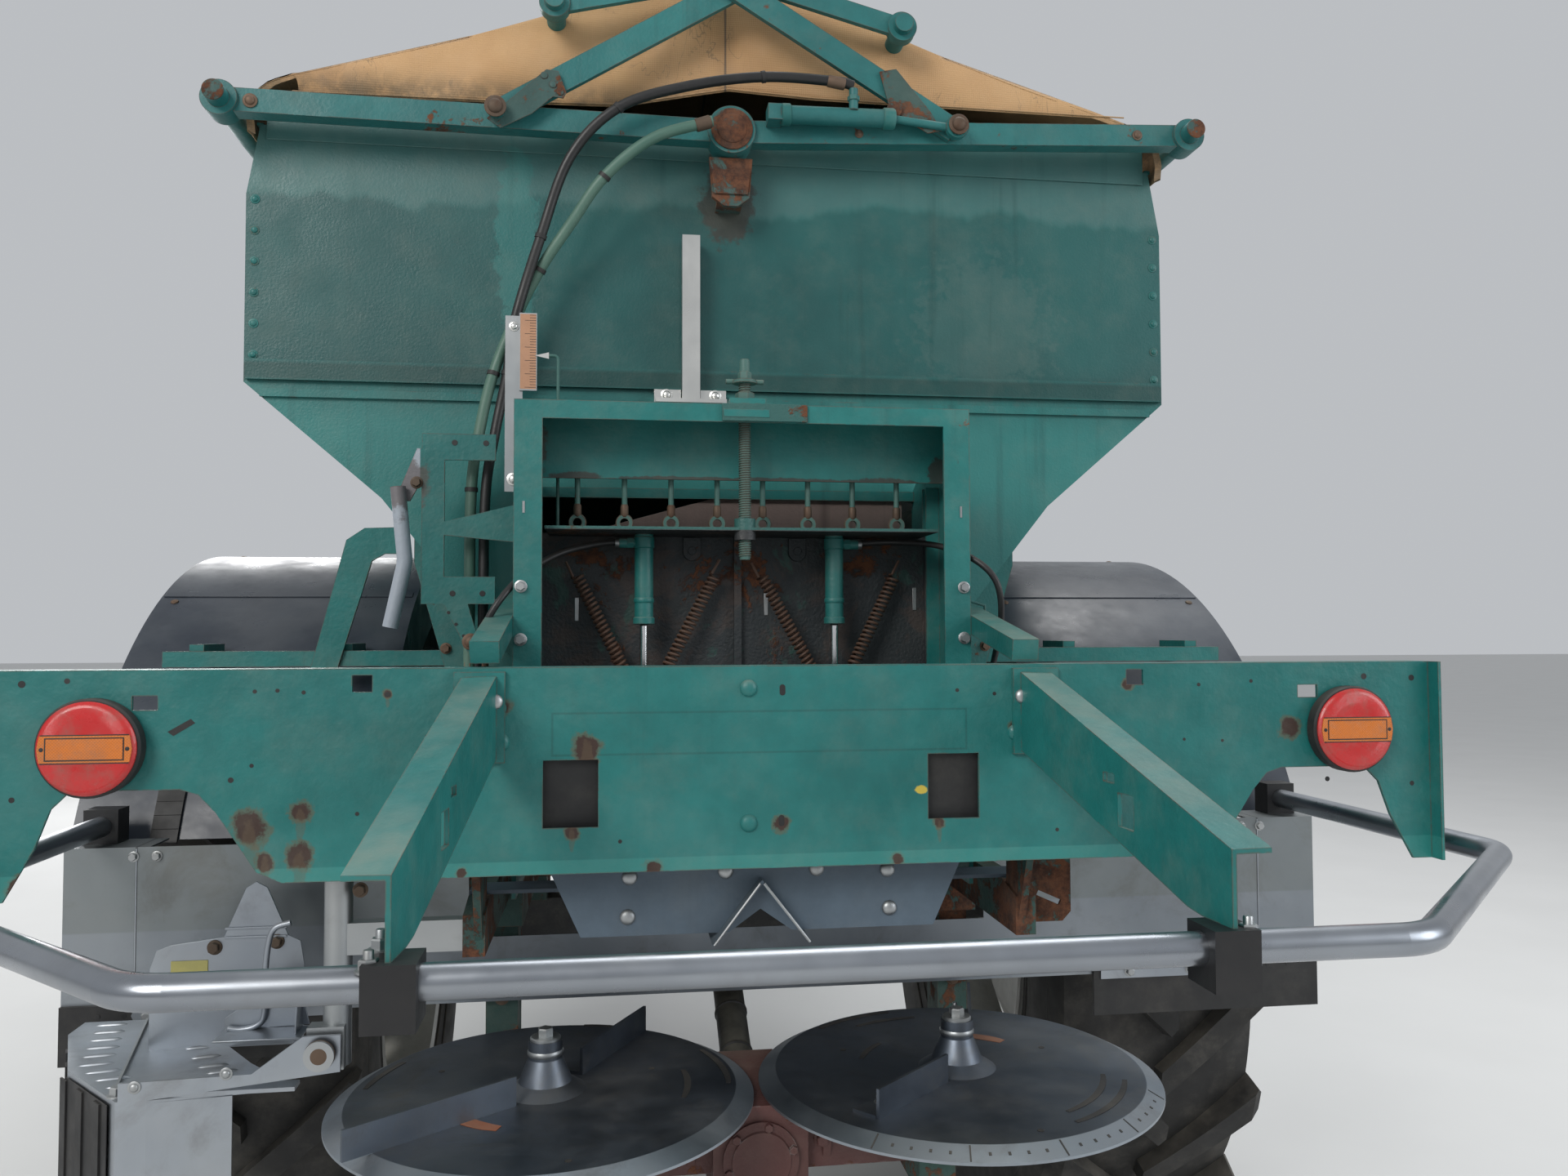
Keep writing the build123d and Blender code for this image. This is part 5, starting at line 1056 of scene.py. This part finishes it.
hoses.lathe(at(-0.075, 0.500, 1.0485), (1, 0, 0.35),
            [(0.0112, 0), (0.0128, 0.002), (0.0128, 0.030), (0.0112, 0.032)], 20)
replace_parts(hoses.finish("hood_lines", "hose pipe old_steel", "machine"), "hood_hoses")


def hem_height(x):
    """Height of the gable's lower hem."""
    spots = [(-0.90, 1.112), (-0.48, 1.117), (-0.22, 1.124), (-0.05, 1.160), (0.0, 1.170), (0.18, 1.162),
             (0.90, 1.160)]
    for (x0, z0), (x1, z1) in zip(spots, spots[1:]):
        if x <= x1:
            return z0 + (z1 - z0) * max(0.0, (x - x0) / (x1 - x0))
    return spots[-1][1]


# Half of the roof's cross-section, from the ridge to the hem: x, z
ROOF = [(0, 1.4275), (0.35, 1.3155), (0.86, 1.1545), (0.905, 1.137), (0.938, 1.108), (0.9465, 1.07), (0.943, 1.036)]
TARP_REAR, TARP_FRONT = 0.6035, 4.5065


def crease(p, scale, seed):
    """Sharp-backed folds from two octaves of noise."""
    a = 1 - abs(noise.noise(Vector((p[0] * scale + seed, p[1] * scale * 0.7, p[2] * scale))))
    b = 1 - abs(noise.noise(Vector((p[0] * scale * 2.3, p[1] * scale * 1.6 + seed, p[2] * scale * 2.1))))
    return a ** 6 * 0.7 + b ** 8 * 0.3


def gable_place(x, z, out, share):
    """Place on the rear (out -1) or front gable, for share from 0 at its hem to 1 at the roof's edge."""
    back = TARP_REAR if out < 0 else TARP_FRONT
    if abs(x) >= 0.858:
        return Vector((x * (1 - 0.016 * (1 - share)), back, z - 0.008 * (1 - share)))
    low = min(hem_height(-out * x), z - 0.016)
    place = Vector((x, back, low + (z - low) * share))
    depth = sin(pi * min(1, share * 1.1)) * min(1.0, (z - low) / 0.12)
    lean = abs(x) * 14 + (1.43 - place.z) * 9
    fold = sin(lean + 2.6 * noise.noise(Vector((x * 3.1, 7.0 * out, place.z * 5)))) * 0.0022
    fold += (crease((x * 1.6, 3.1 * out, place.z * 1.2), 3.0, 11.0) - 0.42) * 0.009
    place.y += out * (0.007 + fold) * depth
    return place


def roof_place(x, z, u, v, leg, share):
    """Place on the roof: u runs across it, v along it, leg and share say where x and z lie on ROOF."""
    back = TARP_REAR + (TARP_FRONT - TARP_REAR) * v
    edge = min(v, 1 - v) * (TARP_FRONT - TARP_REAR)
    ease = min(1.0, edge / 0.25)
    # The cloth hangs free between the ridge, the mid tubes and the side tubes
    free = sin(pi * share) if leg < 2 else 0.0
    place = Vector((x, back, z))
    wave = crease((x * 0.9, back * 0.8, 0.0), 1.6, 3.0) - 0.45
    fine = crease((x * 2.0, back * 0.5, 5.0), 3.4, 8.0) - 0.45
    place.z -= ((0.006 + 0.016 * ease) * free * (1.25 if leg == 1 else 0.55)
                + (wave * 0.012 + fine * 0.005) * free * ease)
    if leg >= 2:
        ripple = sin(back * 7.3 + 2.0 * noise.noise(Vector((back * 1.7, 0, u)))) * 0.5 + 0.5
        place.x -= (1 if x > 0 else -1) * ripple * 0.007 * min(1.0, (leg - 1) / 3) * ease
    if leg >= 4:
        place.z += 0.006 * sin(back * 3.1 + (0 if x > 0 else 1.4)) * ease
    place.z -= max(0.0, 0.012 - edge) * 0.35
    return place


def make_tarp():
    """One sheet over the ridge and the mid tubes, folded down at the two gables."""
    columns, gable_rows, roof_rows = 132, 14, 150
    rows = 2 * gable_rows + roof_rows
    mesh = bmesh.new()
    grid = []
    for row in range(rows + 1):
        line = []
        for column in range(columns + 1):
            u = -1 + 2 * column / columns
            (x, z), leg, share = walk(ROOF, abs(u) * line_length(ROOF))
            x = -x if u < 0 else x
            if row < gable_rows:
                place = gable_place(x, z, -1, row / gable_rows)
            elif row > gable_rows + roof_rows:
                place = gable_place(x, z, 1, (rows - row) / gable_rows)
            else:
                place = roof_place(x, z, u, (row - gable_rows) / roof_rows, leg, share)
            line.append(mesh.verts.new(at(*place)))
        grid.append(line)
    for above, below in zip(grid, grid[1:]):
        for n in range(columns):
            mesh.faces.new((above[n], above[n + 1], below[n + 1], below[n])).smooth = True
    bmesh.ops.remove_doubles(mesh, verts=mesh.verts, dist=0.0002)
    bmesh.ops.recalc_face_normals(mesh, faces=mesh.faces)
    if sum(face.normal.z * face.calc_area() for face in mesh.faces) < 0:
        bmesh.ops.reverse_faces(mesh, faces=mesh.faces)
    data = bpy.data.meshes.new("cover_sheet")
    mesh.to_mesh(data)
    mesh.free()
    piece = bpy.data.objects.new("cover_sheet", data)
    bpy.context.collection.objects.link(piece)
    skin = piece.modifiers.new("cloth", "SOLIDIFY")
    skin.thickness = 0.0016
    skin.offset = -1
    settle(piece)
    piece.data.materials.append(MAT["tarp"])
    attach(piece, "machine")
    return piece


tarp = make_tarp()
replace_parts(tarp, "tarpaulin")
welts = Build()
for back, side in ((0.6015, 1), (4.5085, -1)):
    welts.tube([at(x / 50, back, max(hem_height(side * x / 50), 1.10) + 0.004) for x in range(-43, 44)], 0.0016, 6)
welts.tube([at(-0.007, 0.6030, 1.172 + 0.0125 * n) for n in range(20)], 0.0014, 6)
hems = welts.finish("cover_hems", "tarp", "machine")

# Hood: bolts, worn plates, hub caps, the cylinder's fittings, hose ties and the tubes' caps
hood = Build()
for x, back, z, size in ((-0.460, 0.499, 1.064, 0.0145), (0.460, 0.499, 1.082, 0.0145),
                         (-0.92, 0.541, 1.066, 0.0095), (0.862, 0.541, 1.10, 0.0075), (0.262, 0.541, 1.069, 0.006)):
    hood.bolt(at(x, back, z), REAR, size, "dome")
hood.finish("hood_bolts", "old_steel", "machine")
plates = Build()
plates.plate([(-0.478, 1.048), (-0.452, 1.030), (-0.392, 1.062), (-0.352, 1.098), (-0.332, 1.096), (-0.326, 1.108),
              (-0.342, 1.150), (-0.365, 1.152)], 0.5205, -0.003)
for x, z in ((-0.352, 1.122), (-0.369, 1.139), (-0.338, 1.108)):
    plates.lathe(at(x, 0.5176, z), REAR, [(0.0058, 0), (0.0072, 0.0005), (0.0072, 0.002), (0.0058, 0.0025)], 14)
plates.plate([(0.300, 1.190), (0.335, 1.198), (0.405, 1.115), (0.430, 1.075), (0.400, 1.068), (0.352, 1.095),
              (0.318, 1.125)], 0.5205, -0.003)
plates.lathe(at(0.330, 0.5172, 1.112), REAR, [(0.014, 0), (0.016, 0.001), (0.016, 0.006), (0.008, 0.007)], 20)
for radius, depth in ((0.042, 0.0035), (0.030, 0.006)):
    plates.lathe(at(0, 0.532, 1.06), REAR, [(radius, 0), (radius, depth), (radius - 0.002, depth + 0.0015),
                                           (0.001, depth + 0.0015)], 36)
plates.plate([(-0.040, 0.985), (-0.034, 0.935), (0.034, 0.935), (0.040, 0.985)], 0.5538, -0.004)
plates.finish("hood_plates", "old_hood", "machine", 0.001)
ram = Build()
ram.lathe(at(0.097, 0.515, 1.088), (1, 0, 0.017), [(0.0186, 0), (0.0215, 0.002), (0.0215, 0.018), (0.0186, 0.020)], 28)
ram.lathe(at(0.305, 0.515, 1.0915), (1, 0, 0.017), [(0.0186, 0), (0.021, 0.002), (0.021, 0.021), (0.019, 0.025)], 28)
ram.lathe(at(0.243, 0.503, 1.118), UP, [(0.0095, 0), (0.0125, 0.001), (0.0125, 0.010), (0.0095, 0.011)], 6, False)
ram.finish("hood_ram_trim", "frame_green", "machine", 0.0005)
clips = Build()
for k in (2, 4, 6, 8):
    for line, radius in ((HOSE_LINE, 0.0117), (PIPE_LINE, 0.0127)):
        here, ahead = at(*line[k]), at(*line[k + 1])
        way = (ahead - here).normalized() * 0.004
        clips.tube([here - way, here + way], radius, 16)
clips.finish("hose_ties", "rubber", "machine")
caps = Build()
for side, z in ((-1, 1.068), (1, 1.106)):
    for back, way in ((0.5048, REAR), (4.6052, FRONT)):
        caps.lathe(at(side * 0.976, back, z), way, [(0.020, 0), (0.020, 0.001), (0.017, 0.003), (0.001, 0.003)], 28)
caps.finish("tube_caps", "old_hood", "machine")


def louvre(build, x, y, angle, length, width=0.010, height=0.0038):
    """Half-round pressing on the limiter's plate."""
    way = Vector((cos(radians(angle)), sin(radians(angle)), 0))
    across = Vector((-way.y, way.x, 0))
    middle = at(x, y, LIMITER_Z)
    points = []
    for k in range(9):
        share = -1 + 2 * k / 8
        size = max(0.0, 1 - abs(share) ** 2.6) ** 0.5
        centre = middle + way * (share * length / 2)
        for a in [pi * j / 6 for j in range(7)]:
            points.append(centre + across * (cos(a) * width / 2 * (0.25 + 0.75 * size))
                          + Vector((0, 0, sin(a) * height * size)))
    build.add(points, [[k * 7 + j, k * 7 + j + 1, (k + 1) * 7 + j + 1, (k + 1) * 7 + j]
                       for k in range(8) for j in range(6)], True)


# Border limiter: two rows of louvres that each turn at a knee, bolts and the folded seam
ribs = Build()
for count, knee, line, shift, angle, turn, length in (
        (10, 0.42, ((-0.952, 0.105), (-1.060, 0.232), (-1.118, 0.440)), 0.020, 12, 10, 0.052),
        (9, 0.4, ((-0.770, 0.122), (-0.842, 0.212), (-0.965, 0.440)), -0.018, 14, 8, 0.046)):
    for n in range(count):
        t = n / (count - 1)
        x, y = between(*line[:2], t / knee) if t < knee else between(*line[1:], (t - knee) / (1 - knee))
        louvre(ribs, x + shift, y + 0.004, angle - turn * t, length)
ribs.finish("limiter_louvres", "limiter", "border_limiter")
fittings = Build()
fittings.slab([at(x, y, LIMITER_Z) for x, y in ((-0.957, 0.100), (-0.961, 0.100), (-1.044, 0.452), (-1.040, 0.452))],
              (0, 0, 0.007))
fittings.bolt(at(-0.955, 0.105, LIMITER_Z), UP, 0.0105)
fittings.bolt(at(-0.812, 0.130, LIMITER_Z + 0.006), UP, 0.0085)
for x, z in ((-0.922, -0.611), (-0.795, -0.598)):
    fittings.bolt(at(x, 0.0775, z), REAR, 0.0065, "dome")
fittings.finish("limiter_bolts", "zinc", "border_limiter", 0.0006)

# The limiter's skirt: six slats set out along its foot, and their backing
SKIRT = ((-0.962, 0.090), (-1.072, 0.2185), (-1.1475, 0.3985), (-1.1475, 0.462))
SKIRT_HEIGHT = 0.172
slats = Build()
slats.strip(at(-0.964, 0.0925, -0.812), at(-1.0735, 0.2200, -0.812), SKIRT_HEIGHT, (-0.0012, -0.0009, 0))
for n in range(6):
    (x, y), leg, share = walk(SKIRT, (0.06 + n * 0.165) * line_length(SKIRT))
    way = (Vector(SKIRT[leg + 1]) - Vector(SKIRT[leg])).normalized().to_3d()
    out = Vector((-way.y, way.x, 0))
    foot = at(x, y, -0.816) + out * 0.0012
    slats.strip(foot, foot + way * 0.024, SKIRT_HEIGHT, out * 0.0035)
slats.finish("limiter_slats", "rubber", "border_limiter", 0.0005)

# The limiter's pivot, bracket and latch hook
pivot = Build()
pivot.lathe(at(-0.662, 0.0725, -0.576), REAR, [(0.0185, 0), (0.0225, 0.0008), (0.0225, 0.003), (0.020, 0.0065),
                                              (0.012, 0.0085), (0.001, 0.009)], 36)
for z in (-0.235, -0.30):
    pivot.tube([at(-0.6665, 0.122, z), at(-0.6365, 0.1008, z), at(-0.6075, 0.1075, z)], 0.0016, 6)
pivot.bolt(at(-0.612, 0.101, -0.34), REAR, 0.008)
pivot.finish("limiter_pivot", "old_steel", "machine")
latch = Build()
latch.plate([(-0.985, -0.500), (-0.975, -0.470), (-0.952, -0.462), (-0.870, -0.452), (-0.836, -0.372),
             (-0.820, -0.362), (-0.802, -0.372), (-0.768, -0.452), (-0.748, -0.462), (-0.742, -0.500),
             (-0.742, -0.625), (-0.762, -0.632), (-0.985, -0.632)], 0.300, 0.003)
for z in (-0.452, -0.437):
    latch.block(at(-0.868, 0.2975, z - 0.003), at(-0.770, 0.300, z + 0.001))
latch.slot = 1
for x, z in ((-0.884, -0.468), (-0.786, -0.462)):
    latch.bolt(at(x, 0.300, z), REAR, 0.0085)
latch.slot = 2
latch.block(at(-0.952, 0.2985, -0.512), at(-0.894, 0.2998, -0.488))
latch.finish("limiter_bracket", "limiter old_steel sticker_pale", "border_limiter", 0.0012)
hook = Build()
hook.tube(spline([at(*p) for p in ((-0.742, 0.215, -0.412), (-0.766, 0.214, -0.420), (-0.776, 0.214, -0.445),
                                   (-0.780, 0.212, -0.500), (-0.780, 0.212, -0.555), (-0.792, 0.212, -0.572),
                                   (-0.815, 0.212, -0.577), (-0.835, 0.212, -0.574))], 6), 0.0048)
hook.plate([(-0.842, -0.560), (-0.780, -0.520), (-0.726, -0.520), (-0.712, -0.575), (-0.842, -0.580)], 0.2175, 0.003)
hook.block(at(-0.842, 0.16, -0.580), at(-0.712, 0.2205, -0.577))
hook.slab([at(-0.726, 0.17, -0.630), at(-0.726, 0.2205, -0.630), at(-0.726, 0.2205, -0.50), at(-0.726, 0.19, -0.50)],
          (0.003, 0, 0))
hook.finish("limiter_latch", "limiter", "border_limiter", 0.0008)

# Spray shield: seams, lower strip, bolts
shield = Build()
for side in (-1, 1):
    shield.slot = 0
    shield.block(at(side * 1.087 - 0.0012, 0.5088, -0.615), at(side * 1.087 + 0.0012, 0.5102, -0.338))
    shield.plate([(side * x, z) for x, z in ((0.74, -0.648), (1.074, -0.648), (1.084, -0.643), (1.088, -0.634),
                                             (1.084, -0.625), (1.074, -0.620), (0.74, -0.620))], 0.5022, -0.0026)
    shield.slot = 1
    for x in (1.060, 0.93, 0.80):
        shield.bolt(at(side * x, 0.4996, -0.634), REAR, 0.0075)
    for x in (1.052, 1.092, 0.66, 0.62):
        shield.bolt(at(side * x, 0.510, -0.352), REAR, 0.0068)
    shield.slot = 2
    for x in (1.101, 1.145):
        shield.dot(at(side * x, 0.5018, -0.634), REAR, 0.0045, 0.0006)
shield.finish("shield_fittings", "limiter zinc hose", "machine", 0.0004)


def wheel_point(x, radius, a):
    """Place at angle a round the axle, counted from straight ahead."""
    return AXLE + Vector((x, radius * cos(a), radius * sin(a)))


# Mudguards: clips at the rear edge, rivets, seams across
GUARD_R = 0.980
for side, name, spans in ((-1, "left", ((-1.107, -1.057), (-0.876, -0.831))),
                          (1, "right", ((1.031, 1.088), (0.84, 0.885)))):
    clips = Build()
    for low, high in spans:
        for k in range(6):
            a, b = radians(157.5 - 1.6 * k), radians(155.9 - 1.6 * k)
            clips.slab([wheel_point(x, 0.9805, t) for x, t in ((low, a), (high, a), (high, b), (low, b))],
                       (wheel_point(0, 1, (a + b) / 2) - AXLE) * 0.0055)
    clips.slot = 1
    for angle in (60, 90, 120, 150):
        for x in (0.730, 1.215):
            a = radians(angle)
            clips.lathe(wheel_point(side * x, GUARD_R, a), (0, cos(a), sin(a)),
                        [(0.009, -0.0005), (0.008, 0.0025), (0.004, 0.004), (0.0005, 0.0044)], 12)
    clips.slot = 2
    for a in (radians(72), radians(118)):
        across = Vector((0, -sin(a), cos(a))) * 0.011
        clips.slab([wheel_point(side * x, GUARD_R, a) + across * lean
                    for x, lean in ((0.70, -1), (1.245, -1), (1.245, 1), (0.70, 1))],
                   Vector((0, cos(a), sin(a))) * 0.0022)
    clips.finish("mudguard_fittings_" + name, "rubber old_steel mudguard", "machine", 0.0006)

# Wheels: nuts, hub caps, valves and the tyres' moulded rings
for side, name in SIDES:
    outwards = (side, 0, 0)
    wheel = Build()
    for a in circle(10):
        wheel.bolt(wheel_point(side * 0.909, 0.160, a), outwards, 0.0135, "stud")
    wheel.slot = 1
    wheel.lathe(wheel_point(side * 0.9995, 0, 0), outwards,
                [(0.050, 0), (0.054, 0.002), (0.054, 0.012), (0.044, 0.020), (0.001, 0.022)], 32)
    for a in circle(6, pi / 6):
        wheel.bolt(wheel_point(side * 0.9600, 0.088, a), outwards, 0.0075, "hex", False)
    wheel.slot = 2
    valve = wheel_point(side * 0.955, 0.452, pi / 2)
    wheel.tube([valve, valve + Vector((side * 0.03, 0, -0.008)), valve + Vector((side * 0.052, 0, -0.012))],
               [0.006, 0.0055, 0.0045], 10)
    wheel.finish("wheel_fittings_" + name, "old_steel rim hose", "wheel_" + name)
    rings = Build()
    for face in (-1, 1):
        for radius, bulge in ((0.545, 0.2137), (0.585, 0.2247), (0.742, 0.2296)):
            rings.tube([wheel_point(side * 0.967 + face * bulge, radius, a) for a in circle(72)], 0.0034, 6, True)
    rings.finish("tyre_rings_" + name, "tyre", "wheel_" + name)

# Board that closes the gap over the rear wall, and the plate in the outlet window
board = Build()
board.plate([(-0.915, 1.030), (0.915, 1.030), (0.915, 1.104), (-0.915, 1.098)], 0.6352, -0.005)
board.finish("rim_board", "wall", "machine", 0.001)
baffle = Build()
baffle.plate([(-0.301, 0.247), (-0.2705, 0.2604), (0.021, 0.3414), (0.368, 0.3434), (0.368, 0.247)], 0.6308, 0.0044)
baffle.finish("window_plate", "board", "machine", 0.0008)

# Hopper: corner bolts on both walls, seam bolts on the front one, rim hooks, saddle bolts
hopper = Build()
for back, way, seam_bolts in ((0.635, REAR, 0), (4.47, FRONT, 7)):
    for side in (-1, 1):
        for k in range(6):
            hopper.bolt(at(side * 0.936, back, 0.60 + 0.062 * k), way, 0.0065, "dome")
        for k in range(seam_bolts):
            t = (k + 0.5) / seam_bolts
            hopper.bolt(at(side * (0.663 - 0.262 * t), back, 0.298 - 0.33 * t), way, 0.0065, "dome")
hopper.finish("hopper_bolts", "hopper", "machine")
hooks = Build()
for side in (-1, 1):
    x = side * 0.936
    out = x + side * 0.014
    for y in [0.85 + 0.425 * k for k in range(9)]:
        hooks.tube([at(x, y - 0.025, 1.030), at(out, y - 0.022, 1.022), at(out, y + 0.022, 1.022),
                    at(x, y + 0.025, 1.030)], 0.0035, 8)
hooks.finish("rim_hooks", "old_steel", "machine")
saddles = Build()
for side in (-1, 1):
    for back in (0.72, 1.40, 2.15, 2.90, 3.65, 4.30):
        for x, z in ((0.50, -0.12), (0.575, 0.02)):
            saddles.bolt(at(side * x, back, z), REAR, 0.008)
saddles.finish("saddle_bolts", "old_steel", "machine")

# Scale, ruler, setting tube and the wire hook
marks = Build()
for n in range(28):
    z = 0.506 + 0.005 * n
    wide = 0.013 if n % 5 else 0.022
    marks.block(at(-0.374 - wide, 0.4255, z - 0.0004), at(-0.3755, 0.4262, z + 0.0004))
marks.finish("ruler_marks", "hose", "machine")
strip = Build()
strip.block(at(-0.4045, 0.4257, 0.503), at(-0.3755, 0.4264, 0.643))
strip.finish("ruler_face", "ruler", "machine")
small = Build()
small.block(at(-0.152, 0.603, 0.5195), at(-0.098, 0.6265, 0.5455))
small.block(at(-0.058, 0.603, 0.5195), at(-0.006, 0.6265, 0.5455))
small.tube([at(-0.427, 0.548, 0.635), at(-0.427, 0.548, 0.66)], 0.012, 14)
for x, back, z, size in ((-0.127, 0.603, 0.534, 0.0085), (-0.028, 0.603, 0.534, 0.0085),
                         (-0.416, 0.430, 0.335, 0.0085), (-0.416, 0.430, 0.620, 0.0065)):
    small.bolt(at(x, back, z), REAR, size, "dome")
small.finish("scale_fittings", "aluminium", "machine", 0.0008)
flag = Build()
flag.plate([(-0.352, 0.560), (-0.378, 0.5655), (-0.352, 0.572)], 0.4245, 0.0012)
flag.finish("pointer_flag", "aluminium", "gate")
wire = Build()
wire.tube([at(0.453, 0.5, 0.119), at(0.505, 0.5, 0.1035), at(0.507, 0.5, 0.058), at(0.462, 0.5, 0.060)], 0.0032, 8)
wire.tube([at(0.400, 0.500, 0.135), at(0.453, 0.5, 0.119)], 0.0032, 8)
wire.finish("side_wire", "frame_green", "machine")
bracket = Build()
for x, z in ((-0.531, 0.412), (-0.473, 0.412), (-0.533, 0.126), (-0.478, 0.126)):
    bracket.dot(at(x, 0.4998, z), REAR, 0.0055, 0.0006)
for k in range(5):
    bracket.dot(at(-0.540 + 0.014 * k, 0.4998, 0.090 - 0.022 * k), REAR, 0.0032, 0.0006, 10)
bracket.slot = 1
bracket.bolt(at(-0.499, 0.500, 0.035), REAR, 0.011, "dome")
bracket.bolt(at(-0.600, 0.5, 0.335), REAR, 0.008)
bracket.finish("hose_bracket_fittings", "hose old_steel", "machine")

# Drive: flange, plugs and bolts on the gear case, bands on the shaft guard, splines on the stub
drive = Build()
drive.lathe(at(0, 0.080, -0.775), REAR, [(0.060, -0.001), (0.060, 0.006), (0.048, 0.009), (0.046, 0.012),
                                        (0.020, 0.013), (0.001, 0.013)], 40)
for a in circle(6, 0.3):
    drive.bolt(at(0.053 * cos(a), 0.0745, -0.775 + 0.053 * sin(a)), REAR, 0.0065, "hex", False)
for side in (-1, 1):
    for a in circle(8, 0.2):
        drive.bolt(disc_point(side, 0.060, a, -0.018), UP, 0.0065, "hex", False)
    drive.lathe(at(side * DISC_X, DISC_BACK, -0.688), UP,
                [(0.045, 0), (0.045, 0.004), (0.030, 0.010), (0.0215, 0.010)], 32)
    for x in (0.10, 0.19, 0.28, 0.43):
        drive.bolt(at(side * x, 0.0995, -0.756), REAR, 0.009)
    drive.lathe(at(side * 0.10, 0.150, -0.756), (side, 0, 0),
                [(0.052, 0), (0.058, 0.002), (0.058, 0.014), (0.052, 0.016)], 36)
drive.finish("drive_fittings", "drive", "machine")
bands = Build()
for start, end, count in (((0.405, -0.780), (0.950, -0.540), 5), ((0.950, -0.540), (4.506, -0.540), 16)):
    way = at(0, *end) - at(0, *start)
    for k in range(count):
        bands.lathe(at(0, *between(start, end, (k + 0.7) / (count + 0.4))), way,
                    [(0.0302, -0.004), (0.0325, -0.002), (0.0325, 0.002), (0.0302, 0.004)], 24)
bands.finish("shaft_bands", "rubber", "machine")
splines = Build()
for a in circle(6):
    u, v = Vector((cos(a), 0, sin(a))), Vector((-sin(a), 0, cos(a)))
    splines.slab([at(0, 4.600, -0.540) + u * far + v * aside
                  for far, aside in ((0.0168, -0.0036), (0.0176, -0.0036), (0.0176, 0.0036), (0.0168, 0.0036))],
                 (0, 0.074, 0))
splines.finish("shaft_splines", "old_steel", "machine")

# Belt: cleats on the upper and the lower run
cleats = Build()
for first, low, high in ((1, -0.1002, -0.0965), (0, -0.2795, -0.2758)):
    for y in [0.44 + 0.24 * k for k in range(first, 17)]:
        cleats.block(at(-0.33, y - 0.008, low), at(0.33, y + 0.008, high))
cleats.finish("belt_cleats", "belt", "machine", 0.0015)

# Drawbar, towing eye and jack
front = Build()
for side in (-1, 1):
    for x in (0.405, 0.475):
        for z in (-0.39, -0.435, -0.48):
            front.bolt(at(side * x, 4.558, z), FRONT, 0.0095)
for x in (-0.045, 0.045):
    for z in (-0.745, -0.655):
        front.bolt(at(x, 5.879, z), FRONT, 0.010, "stud")
for z, way in ((-0.6848, UP), (-0.7152, DOWN)):
    front.lathe(at(0, 6.078, z), way, [(0.0235, 0), (0.0235, 0.0035), (0.0205, 0.0035)], 36)
front.finish("drawbar_bolts", "old_steel", "machine")
JACK_X, JACK_BACK = -0.35004, 5.246
jack = Build()
for z in (-0.43, -0.60, -0.78, -0.96):
    jack.block(at(JACK_X - 0.0425, JACK_BACK - 0.0425, z), at(JACK_X + 0.0425, JACK_BACK + 0.0425, z + 0.012))
jack.lathe(at(JACK_X, JACK_BACK, -0.340), UP,
           [(0.034, 0), (0.036, 0.002), (0.036, 0.010), (0.024, 0.016), (0.021, 0.030)], 28)
jack.lathe(at(JACK_X - 0.150, JACK_BACK, -0.3205), UP,
           [(0.006, 0), (0.013, 0.004), (0.0145, 0.02), (0.0145, 0.075), (0.012, 0.084), (0.001, 0.086)], 20)
jack.finish("jack_fittings", "zinc", "machine", 0.001)
foot = Build()
for a in circle(4, pi / 4):
    u, v = Vector((cos(a), sin(a), 0)), Vector((-sin(a), cos(a), 0))
    corner = at(JACK_X, JACK_BACK, -1.588) + u * 0.040 - v * 0.003
    foot.slab([corner, corner + u * 0.058, corner + Vector((0, 0, 0.034))], v * 0.006)
for k in range(6):
    foot.dot(at(JACK_X, JACK_BACK - 0.0318, -1.50 + 0.06 * k), REAR, 0.007, 0.0004)
foot.finish("jack_foot_ribs", "zinc", "jack_foot", 0.0008)

# Bolts of the chassis and the carriers that show from below and from the sides
frame_bolts = Build()
for side in (-1, 1):
    for back in (0.90, 2.15, 3.40):
        for z in (-0.41, -0.45):
            frame_bolts.bolt(at(side * 0.48, back, z), (side, 0, 0), 0.0095)
    for z in (-0.56, -0.64, -0.72):
        frame_bolts.bolt(at(side * 0.44, 0.530, z), REAR, 0.0095)
    frame_bolts.bolt(at(side * 0.285, 0.30, -0.80), UP, 0.008)
frame_bolts.finish("frame_fixings", "old_steel", "machine")

for form in FASTENERS.values():
    bpy.data.objects.remove(form)

# Floor
floor_mesh = bpy.data.meshes.new("floor")
floor_mesh.from_pydata([(-70, -70, 0), (70, -70, 0), (70, 70, 0), (-70, 70, 0)], [], [(0, 1, 2, 3)])
floor = bpy.data.objects.new("floor", floor_mesh)
bpy.context.collection.objects.link(floor)
net, shader, co = surface("floor")
net.put(shader.inputs["Base Color"], net.mix(net.noise(co, 1.5, 4), (0.60, 0.60, 0.59), (0.66, 0.66, 0.65)))
shader.inputs["Roughness"].default_value = 0.85
floor_mesh.materials.append(MAT["floor"])
